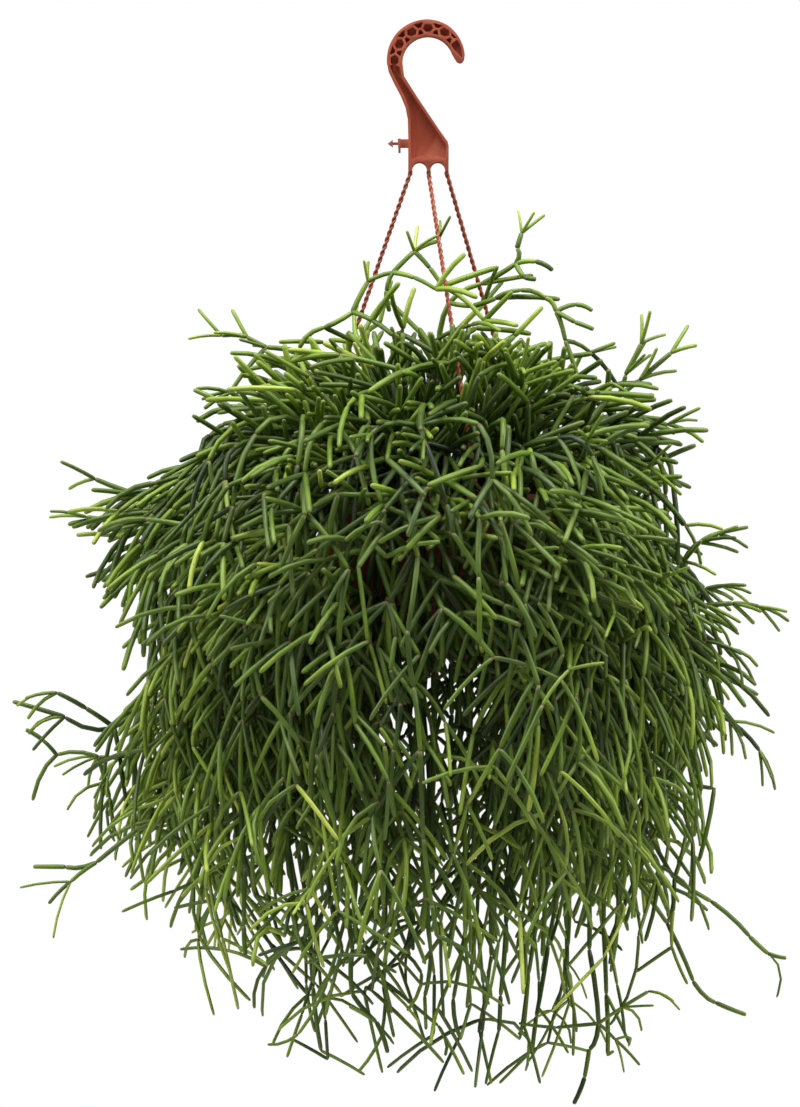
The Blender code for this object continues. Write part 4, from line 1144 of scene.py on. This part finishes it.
def group_route(draw, group, azimuth, root, reach, tip):
    """A route from the root up over the rim and out or down, for a stem of this group."""
    drift = draw.uniform(-DRIFT, DRIFT)
    start = np.array((*root, RIM_TOP))
    radius = math.hypot(root[0] - POT_AXIS_X, root[1])
    turn = math.degrees(math.atan2(root[1], root[0] - POT_AXIS_X))
    if group == "dome":
        return [start, about_pot(turn, radius + 0.3 * (reach - radius), tip - 25 * MM),
                about_pot(turn + drift, reach, tip)]
    over = RIM_TOP + draw.uniform(16, 44) * MM
    rise = [start, about_pot(turn, radius + 11 * MM, RIM_TOP + 15 * MM),
            about_pot(turn, OVER_RIM, over)]
    if group == "shoulder":
        return rise + [about_pot(turn + drift / 2, 0.5 * (OVER_RIM + reach) + 10 * MM, over),
                       about_pot(turn + drift, reach, tip)]
    hang = max(reach, LEAST_HANG)
    return rise + [about_pot(turn + drift / 3, 0.5 * (OVER_RIM + hang), over - 35 * MM),
                   about_pot(turn + drift / 2, hang, RIM_TOP - 90 * MM),
                   about_pot(turn + drift, reach * draw.uniform(0.9, 1.1), tip)]


def place_group_stem(thicket, draw, group, settings, azimuth, roots, spacing, gap):
    """A stem of a group: the longest of a few tries near its azimuth."""
    _, root_radii, reaches, tips = settings
    best = None
    for _ in range(GROUP_TRIES):
        before = thicket.count
        near = azimuth + draw.uniform(-AZIMUTH_SPREAD, AZIMUTH_SPREAD)
        root = free_root(roots, near, draw.uniform(*root_radii) * MM, spacing)
        tip = draw.uniform(*tips) * MM
        reach = draw.uniform(*reaches) * outline_radius(azimuth, tip)
        route = group_route(draw, group, azimuth, root, reach, tip)
        run = jointed_run(thicket, draw, route, gap)
        thicket.count = before
        left = np.linalg.norm(route[-1] - run.points[-1])
        if best is None or left < best[0]:
            best = (left, root, run, route)
    _, root, run, route = best
    if len(run.points) < 2:
        return [], route
    roots.append(root)
    thicket.add_run(run.points, [r * FACET_ROOM for r in run.radii()])
    return [on_its_root(thicket, run)], route


def swung(point, turn):
    """A point turned about the pot's axis by an angle in degrees."""
    x, y = point[0] - POT_AXIS_X, point[1]
    cos, sin = polar(1, turn)
    return np.array((POT_AXIS_X + x * cos - y * sin, x * sin + y * cos, point[2]))


def add_fork(thicket, draw, runs, route, turn):
    """A second line that leaves a stem over the rim and runs beside it, where there is room."""
    parent = runs[0]
    over = route[FORK_POINT]
    at = min(range(2, len(parent.points)),
             key=lambda i: float(np.linalg.norm(parent.points[i] - over)))
    before = thicket.count
    beside = [parent.points[at]] + [swung(point, turn) for point in route[FORK_POINT + 1:]]
    fork = jointed_run(thicket, draw, beside)
    if len(fork.points) < LEAST_FORK:
        thicket.count = before
        return
    runs.append(Run(fork.points, parent.shares[at]))


def grow_groups(thicket, roots, prefix, groups, looseness, spacing, gap):
    """The main stems of some groups and their routes, both by name."""
    stems = {}
    routes = {}
    for group, settings in groups.items():
        first, spread = AZIMUTHS.get(group, (0, 360))
        shape = "curtain" if group in AZIMUTHS else group
        for i in range(settings[0]):
            name = f"{prefix}_{group}_{i + 1:02d}"
            draw = random.Random(f"{SEED} {name}")
            azimuth = first + spread * (i + draw.random() * looseness) / settings[0]
            stems[name], routes[name] = place_group_stem(thicket, draw, shape, settings, azimuth,
                                                         roots, spacing, gap)
    return stems, routes


def grow_stems(thicket):
    """Every stem's runs by name, as in the solids: first all main lines, then the side stems."""
    stems = {}
    roots = []
    for name, lines in SHOWN_STEMS.items():
        stems[name] = place_shown_stem(thicket, lines)
        roots.append(mm(*lines[0][0][:2]))
    grouped, routes = grow_groups(thicket, roots, "stem", STEM_GROUPS, 0.4, ROOT_SPACING, STEM_GAP)
    stems.update(grouped)
    for turn in (FORK_TURN, -FORK_TURN):
        for name, route in routes.items():
            if len(route) > FORK_POINT + 1:
                draw = random.Random(f"{SEED} fork {turn} {name}")
                add_fork(thicket, draw, stems[name], route, turn)
    for name, runs in stems.items():
        draw = random.Random(f"{SEED} twigs {name}")
        shown = name in SHOWN_STEMS
        for run in list(runs):
            add_twigs(thicket, draw, runs, run, SHOWN_TWIGS if shown else GROUP_TWIGS,
                      0 if shown else 1)
    return stems, roots


# Further stems and whorls of side stems

FILL_GAP = -0.4 * MM
WHORL_GAP = -0.6 * MM
WHORL_TRIES = 10
BOX_MARGIN = 2 * MM
# No more whorls grow when there are this many pieces.
MOST_PIECES = 11500
# The share of the outline that the side stems of one stem fill
REACHES = (0.74, 1.10)
LEVELS = (
    # pieces at a joint, chance that a piece carries the next whorl, lengths
    ((2, 3), 0.90, (30, 46)),
    ((1, 3), 0.85, (28, 44)),
    ((1, 3), 0.85, (28, 44)),
    ((1, 2), 0.85, (27, 42)),
    ((1, 2), 0.80, (26, 40)),
    ((1, 3), 0.70, (24, 38)),
    ((2, 4), 0.00, (15, 30)),
)
# By height in millimetres: how strongly young stems hang, their cone angles, how long and thick
# they are, how much they sag, and the share of whorls that grow
ZONES = (
    # height, weight, least angle, most angle, length, radius, sag, share
    (-690, 0.40, 26, 64, 1.60, 1.14, 0.11, 0.24),
    (-600, 0.35, 26, 62, 1.55, 1.28, 0.11, 0.18),
    (-540, 0.30, 22, 56, 1.50, 1.45, 0.10, 0.30),
    (-450, 0.35, 16, 46, 1.35, 1.60, 0.08, 0.70),
    (-380, 0.30, 12, 38, 1.18, 1.76, 0.06, 0.92),
    (-330, 0.10, 14, 40, 1.12, 1.86, 0.06, 0.95),
    (-280, 0.00, 14, 44, 1.12, 1.92, 0.05, 1.00),
    (-225, -0.10, 16, 50, 1.10, 1.92, 0.05, 1.00),
    (-135, 0.10, 20, 54, 0.85, 1.65, 0.05, 0.80),
)
# Two stems arch up over the others, and their side stems have more room at the top.
ARCH_STEMS = ("stem_arch_left", "stem_top_right")
ARCH_OUTLINE = OUTLINE[:-1] + ((-190, 75, 95), (-165, 55, 80), (-142, 25, 60))
ARCH_SHARE = 0.45
# The place under the pot where one sees through the plant: left, right, lowest and highest.
OPEN_PLACE = mm(-30, 52, -452, -385)
OPEN_SHARE = 0.12
# The place between the two lowest tufts of hanging stems
LOW_PLACE = mm(20, 85, -700, -580)
LOW_SHARE = 0.2
# Side stems that hide the pot: how many more at a joint, and how many degrees wider
POT_PLACE = mm(-95, 100, -415, -275)
POT_MORE = 1
POT_WIDER = 14
# How much a whorl follows the piece before it, and how much the way that young stems take
HEADING_SHARE = 0.6
YOUNG_SHARE = 0.8
# What makes that way: straight out from the middle of the head, and combed down over it
HEAD_CENTRE = np.array((POT_AXIS_X, 0, -370 * MM))
STICK_OUT = 0.55
COMBED = 0.75
SKIRT_COMBED = 0.2
SKIRT_HEIGHTS = (-560, -430)
TUFT_DEPTH = 0.11
SAME_WAY = 0.96
# Pieces of the main lines: their bend towards their neighbours, their sag, radii and tone
CURVE = 0.1
MAIN_SAG = 0.02
MAIN_RADII = (0.95, 0.9)
MAIN_DARKER = 0.06
# Side stems: how much thinner each level is, and by chance radius, taper and sag
LEVEL_THINNER = 0.03
RADIUS_SHARES = (0.88, 1.1)
TAPERS = (0.86, 1.0)
SAG_SHARES = (0.2, 1.8)
# Whorls at the outline are short, thin and pale, and carry no further ones.
EDGE_SHARE = 0.93
EDGE_LENGTH = 0.55
EDGE_RADIUS = 0.7
EDGE_TONE = 0.12
# Lightness: of the innermost pieces, more of it towards the outline as painted shade deep in the
# head, for each level and by height
INNER_TONE = 0.15
DEPTH_SHADE_TONE = 0.25
LEVEL_TONE = 0.045
TONE_HEIGHTS = (-600, -440, -230, -190)
HEIGHT_TONES = (0.16, 0.0, 0.0, 0.2)
TONE_SPREAD = 0.11
PALE_CHANCE = 0.05
PALE_TONES = (0.15, 0.35)


def zone(height):
    """The growth at a height, as a list without the height itself."""
    heights, *columns = zip(*ZONES)
    return [float(np.interp(height / MM, heights, column)) for column in columns]


class Pieces:
    """The fine pieces of one stem, each with its ends, their radii, its bend and its tone."""

    def __init__(self, shown=False, reach=1.0, outline=OUTLINE):
        self.rows = []
        self.shown = shown
        self.reach = reach
        self.outline = outline

    def add(self, start, end, radius, end_radius, bend, tone):
        self.rows.append((*start, *end, radius, end_radius, *bend, tone))

    def columns(self):
        table = np.array(self.rows)
        return (table[:, 0:3], table[:, 3:6], table[:, 6], table[:, 7], table[:, 8:11],
                table[:, 11])


def tuft(point):
    """How far side stems stick out or stay back here: tufts and hollows round the head."""
    turn = math.atan2(point[1], point[0] - POT_AXIS_X)
    height = point[2] / MM
    return TUFT_DEPTH * (math.sin(3 * turn + height / 24) + math.sin(5 * turn - height / 33 + 2))


def reach_share(point, outline=OUTLINE):
    """How near a point is to the outline of the side stems, from 0 on the axis to 1."""
    x = point[0] - POT_AXIS_X
    height = point[2] / MM
    if not outline[0][0] < height < outline[-1][0]:
        return 2.0
    wide, deep = outline_reach(outline, height, x > 0)
    return math.hypot(x / wide, point[1] / deep) / MM


def young_way(point, weight):
    """The mean direction of side stems: out of the head, over it like hair, and down."""
    lift = float(np.interp(reach_share(point), (0.85, 1.0), (0.0, 0.3)))
    out = unit(point - HEAD_CENTRE)
    over = out * out[2] - np.array((0, 0, 1.0))
    combed = float(np.interp(point[2] / MM, SKIRT_HEIGHTS, (SKIRT_COMBED, COMBED)))
    return STICK_OUT * out + combed * over + np.array((0, 0, lift - weight))


def inside(place, point):
    """Whether a point is in a place seen from the front: left, right, lowest and highest."""
    left, right, lowest, highest = place
    return left < point[0] < right and lowest < point[2] < highest


def inside_box(point):
    low, high = CAD_BOX
    return all(low[i] + BOX_MARGIN < point[i] < high[i] - BOX_MARGIN for i in range(3))


def sag(start, end, draw, amount):
    """How far a piece bends out at its middle: over on the hanging side, and a little freely."""
    chord = end - start
    length = np.linalg.norm(chord)
    along = chord / length
    pull = np.array((0, 0, 1.0)) * 0.8 + outward(end) * 0.6 + random_direction(draw) * 0.4
    pull -= along * (pull @ along)
    return pull * length * amount


def piece_tone(draw, start, level):
    """Lightness of a piece: older ones are darker, inner ones are darker by painted shade, and some
    young ones are pale.
    """
    share = min(reach_share(start), 1.1)
    pale = float(np.interp(start[2] / MM, TONE_HEIGHTS, HEIGHT_TONES))
    # Pieces deep inside the head get painted shade: they are darker than those at the outline.
    tone = INNER_TONE + DEPTH_SHADE_TONE * share + pale + LEVEL_TONE * level
    tone += draw.gauss(0, TONE_SPREAD)
    if level and draw.random() < PALE_CHANCE:
        tone += draw.uniform(*PALE_TONES)
    return min(max(tone, 0.08), 1.0)


def thinned(share, joint, pieces):
    """The share of whorls that grow at a joint: less where one sees through, and on arches."""
    if inside(OPEN_PLACE, joint):
        share *= OPEN_SHARE
    if inside(LOW_PLACE, joint):
        share *= LOW_SHARE
    if pieces.outline is ARCH_OUTLINE:
        share *= ARCH_SHARE
    return share


def whorl_cone(draw, joint, heading, level):
    """How many side stems a joint has, and the axes and the opening of the cone they lie on."""
    weight, least, widest = zone(joint[2])[:3]
    axis = unit(HEADING_SHARE * heading + YOUNG_SHARE * young_way(joint, weight))
    side = unit(np.cross(axis, random_direction(draw)))
    wanted = draw.randint(*LEVELS[level][0])
    opening = draw.uniform(least, widest)
    if inside(POT_PLACE, joint):
        wanted += POT_MORE
        opening += POT_WIDER
    return wanted, (axis, side, np.cross(axis, side), opening)


def cone_way(draw, cone, turn, attempt):
    """A direction on a cone at this turn, which is further off with each attempt."""
    axis, side, across, opening = cone
    turn += draw.gauss(0, 0.25 + 0.08 * attempt)
    angle = math.radians(opening + draw.gauss(0, 5 + attempt))
    return (axis * math.cos(angle)
            + (side * math.cos(turn) + across * math.sin(turn)) * math.sin(angle))


def has_room(pieces, end, at_edge):
    """Whether a side stem may end here: inside the outline with its tufts, and in the box."""
    within = reach_share(end, pieces.outline) < pieces.reach + tuft(end)
    return (within or (pieces.shown and at_edge)) and inside_box(end)


def grow_whorl(thicket, draw, pieces, joint, heading, level):
    """Side stems at one joint. Returns the joints at their ends that carry a further whorl."""
    _, again, lengths = LEVELS[level]
    long, thick, droop, share = zone(joint[2])[3:]
    at_edge = reach_share(joint, pieces.outline) > EDGE_SHARE
    if draw.random() > thinned(share, joint, pieces) or (at_edge and level):
        return []
    wanted, cone = whorl_cone(draw, joint, heading, level)
    ways = [heading]
    grown = []
    for number in range(wanted):
        radius = thick * (1 - LEVEL_THINNER * level) * draw.uniform(*RADIUS_SHARES) * MM
        for attempt in range(WHORL_TRIES):
            way = cone_way(draw, cone, math.tau * number / wanted, attempt)
            length = draw.uniform(*lengths) * long * (EDGE_LENGTH if at_edge else 1) * MM
            end = joint + way * length
            if max(way @ other for other in ways) > SAME_WAY:
                continue
            if (has_room(pieces, end, at_edge)
                    and thicket.is_clear(joint, end, radius, WHORL_GAP)):
                break
        else:
            continue
        thicket.add(joint, end, radius)
        ways.append(way)
        if at_edge:
            radius *= EDGE_RADIUS
        pieces.add(joint, end, radius, radius * draw.uniform(*TAPERS),
                   sag(joint, end, draw, droop * draw.uniform(*SAG_SHARES)),
                   piece_tone(draw, end, level + 1) + EDGE_TONE * at_edge)
        if draw.random() < again:
            grown.append((end, way, pieces))
    return grown


def curve_bend(points, i):
    """How far the middle of piece i bends, so that it runs smoothly into its neighbours."""
    start, end = points[i], points[i + 1]
    before = points[i - 1] if i else 2 * start - end
    after = points[i + 2] if i + 2 < len(points) else 2 * end - start
    return CURVE * (start + end - before - after)


def main_pieces(draw, runs, pieces):
    """Adds the pieces of a stem that the solids also have."""
    for number, run in enumerate(runs):
        radii = run.radii()
        for i, (start, end) in enumerate(zip(run.points, run.points[1:])):
            amount = 0.0 if number == 0 and i == 0 else MAIN_SAG
            thick = min(zone(end[2])[4] * MM / TIP_STEM_RADIUS, 1) if number else 1
            pieces.add(start, end, radii[i] * thick * MAIN_RADII[0],
                       radii[i + 1] * thick * MAIN_RADII[1],
                       sag(start, end, draw, amount) + curve_bend(run.points, i),
                       piece_tone(draw, end, 0) - MAIN_DARKER * (number == 0))
    return pieces


def run_joints(runs, pieces):
    """Where a stem's whorls start: each joint above the soil, with the heading there."""
    joints = []
    for number, run in enumerate(runs):
        for i in range(2 if number == 0 else 1, len(run.points)):
            heading = unit(run.points[i] - run.points[i - 1])
            joints.append((run.points[i], heading, pieces))
    return joints


def grow_pieces(thicket, stems):
    """All fine pieces by stem. The whorls grow level by level, so that no stem comes first."""
    made = {}
    joints = []
    for name, runs in stems.items():
        draw = random.Random(f"{SEED} fine {name}")
        shown = name in SHOWN_STEMS
        reach = 1.0 if shown else draw.uniform(*REACHES)
        outline = ARCH_OUTLINE if name in ARCH_STEMS else OUTLINE
        made[name] = main_pieces(draw, runs, Pieces(shown, reach, outline))
        joints += run_joints(runs, made[name])
    draw = random.Random(SEED)
    for level in range(len(LEVELS)):
        draw.shuffle(joints)
        following = []
        for joint, heading, pieces in joints:
            if piece_count(made) > MOST_PIECES:
                return made
            following += grow_whorl(thicket, draw, pieces, joint, heading, level)
        joints = following
    return made


def piece_count(made):
    return sum(len(pieces.rows) for pieces in made.values())


# The mesh of the pieces

PIECE_SIDES = 6
RING_PLACES = np.array((0.0, 0.07, 0.33, 0.66, 0.93, 0.985))
RING_SIZES = np.array((0.74, 0.98, 1.02, 1.0, 0.97, 0.7))
END_PLACES = np.array((-0.01, 1.0))


def normalised(vectors):
    return vectors / (np.linalg.norm(vectors, axis=-1, keepdims=True) + 1e-12)


def piece_points(pieces, seed):
    """Points of all pieces, as (pieces, points, 3), with the local grain coordinates."""
    starts, ends, first, last, bends, _ = pieces.columns()
    count = len(starts)
    chord = ends - starts
    places = RING_PLACES[None, :, None]
    centres = starts[:, None] + chord[:, None] * places + bends[:, None] * 4 * places * (1 - places)
    headings = normalised(chord[:, None] + bends[:, None] * 4 * (1 - 2 * places))
    random_axis = np.random.default_rng(seed).normal(size=(count, 3))
    side = normalised(np.cross(chord, random_axis))[:, None]
    side = normalised(side - headings * (side * headings).sum(axis=-1, keepdims=True))
    across = np.cross(headings, side)
    radii = (first[:, None] + (last - first)[:, None] * RING_PLACES) * RING_SIZES
    turns = np.arange(PIECE_SIDES) * math.tau / PIECE_SIDES
    ring = (side[:, :, None] * np.cos(turns)[:, None] + across[:, :, None] * np.sin(turns)[:, None])
    rings = centres[:, :, None] + ring * radii[:, :, None, None]
    tips = starts[:, None] + chord[:, None] * END_PLACES[None, :, None]
    points = np.concatenate([rings.reshape(count, -1, 3), tips], axis=1)
    lengths = np.linalg.norm(chord, axis=1)[:, None, None]
    grain = np.zeros((count, len(RING_PLACES), PIECE_SIDES, 3))
    grain[..., 0] = np.cos(turns) * radii[:, :, None]
    grain[..., 1] = np.sin(turns) * radii[:, :, None]
    grain[..., 2] = RING_PLACES[:, None] * lengths + random_axis[:, :1, None]
    ends_grain = np.zeros((count, 2, 3))
    ends_grain[..., 2] = END_PLACES * lengths[:, 0] + random_axis[:, :1]
    return points, np.concatenate([grain.reshape(count, -1, 3), ends_grain], axis=1)


def piece_faces(count):
    """Corner numbers of all faces of this many pieces: the sides, then the fans at the ends."""
    rings = len(RING_PLACES)
    k = np.arange(PIECE_SIDES)
    j = (k + 1) % PIECE_SIDES
    base = (np.arange(rings - 1) * PIECE_SIDES)[:, None]
    quads = np.stack([base + k, base + j, base + PIECE_SIDES + j, base + PIECE_SIDES + k], axis=-1)
    foot, tip = rings * PIECE_SIDES, rings * PIECE_SIDES + 1
    top = (rings - 1) * PIECE_SIDES
    fans = np.concatenate([np.stack([j, k, np.full_like(k, foot)], axis=-1),
                           np.stack([top + k, top + j, np.full_like(k, tip)], axis=-1)])
    offset = (np.arange(count) * (rings * PIECE_SIDES + 2))[:, None, None]
    quads = quads.reshape(1, -1, 4) + offset
    return [*quads.reshape(-1, 4).tolist(), *(fans + offset).reshape(-1, 3).tolist()]


def set_attribute(mesh, name, kind, values):
    made = mesh.attributes.new(name, kind, "POINT")
    made.data.foreach_set("vector" if kind == "FLOAT_VECTOR" else "value",
                          np.ascontiguousarray(values, np.float32).ravel())


def pieces_object(name, pieces, surface, seed):
    """One mesh of all the pieces, with the attributes that the skin's colours read."""
    points, grain = piece_points(pieces, seed)
    mesh = bpy.data.meshes.new(name)
    mesh.from_pydata(points.reshape(-1, 3), [], piece_faces(len(points)))
    mesh.shade_smooth()
    along = np.concatenate([np.repeat(RING_PLACES, PIECE_SIDES), END_PLACES])
    scar = np.interp(along, (0.0, 0.035, 0.965, 0.99), (0.9, 0.0, 0.0, 0.45))
    tone = pieces.columns()[-1][:, None] + 0.10 * (along[None] - 0.5)
    set_attribute(mesh, "tone", "FLOAT", tone)
    set_attribute(mesh, "scar", "FLOAT", np.broadcast_to(scar, tone.shape))
    set_attribute(mesh, "grain", "FLOAT_VECTOR", grain)
    mesh.materials.append(surface)
    return add_object(name, mesh)


def merge(stems, made, group):
    """The pieces of all further stems of a group, together."""
    together = Pieces()
    for name in stems:
        if name.startswith(f"fill_{group}"):
            together.rows += made[name].rows
    return together


def make_stems(surface):
    thicket = Thicket()
    for index in range(len(STRAND_TOPS)):
        path = strand_path(index)
        thicket.add_run(path, [STRAND_ROOM] * len(path))
        thicket.add(path[2], path[3], BARB_ROOM)
    stems, roots = grow_stems(thicket)
    fill, _ = grow_groups(thicket, roots, "fill", FILL_GROUPS, 1, CLOSE_ROOT_SPACING, FILL_GAP)
    made = grow_pieces(thicket, {**stems, **fill})
    for seed, name in enumerate(stems):
        piece = pieces_object(f"{name}_fine", made[name], surface, seed)
        finish_piece(piece, "stem_green", name)
    for seed, group in enumerate(FILL_GROUPS):
        piece = pieces_object(f"more_{group}_stems", merge(fill, made, group), surface, 100 + seed)
        finish_piece(piece, "stem_green")


def main():
    make_camera()
    make_world()
    make_floor()
    for name, (place, energy) in LIGHTS.items():
        make_light(name, place, energy)
    red = plastic_material()
    make_hook(red)
    for index in range(len(STRAND_TOPS)):
        make_strand(index, red)
    make_pot(red)
    make_soil(soil_material())
    make_stems(stem_material())


main()
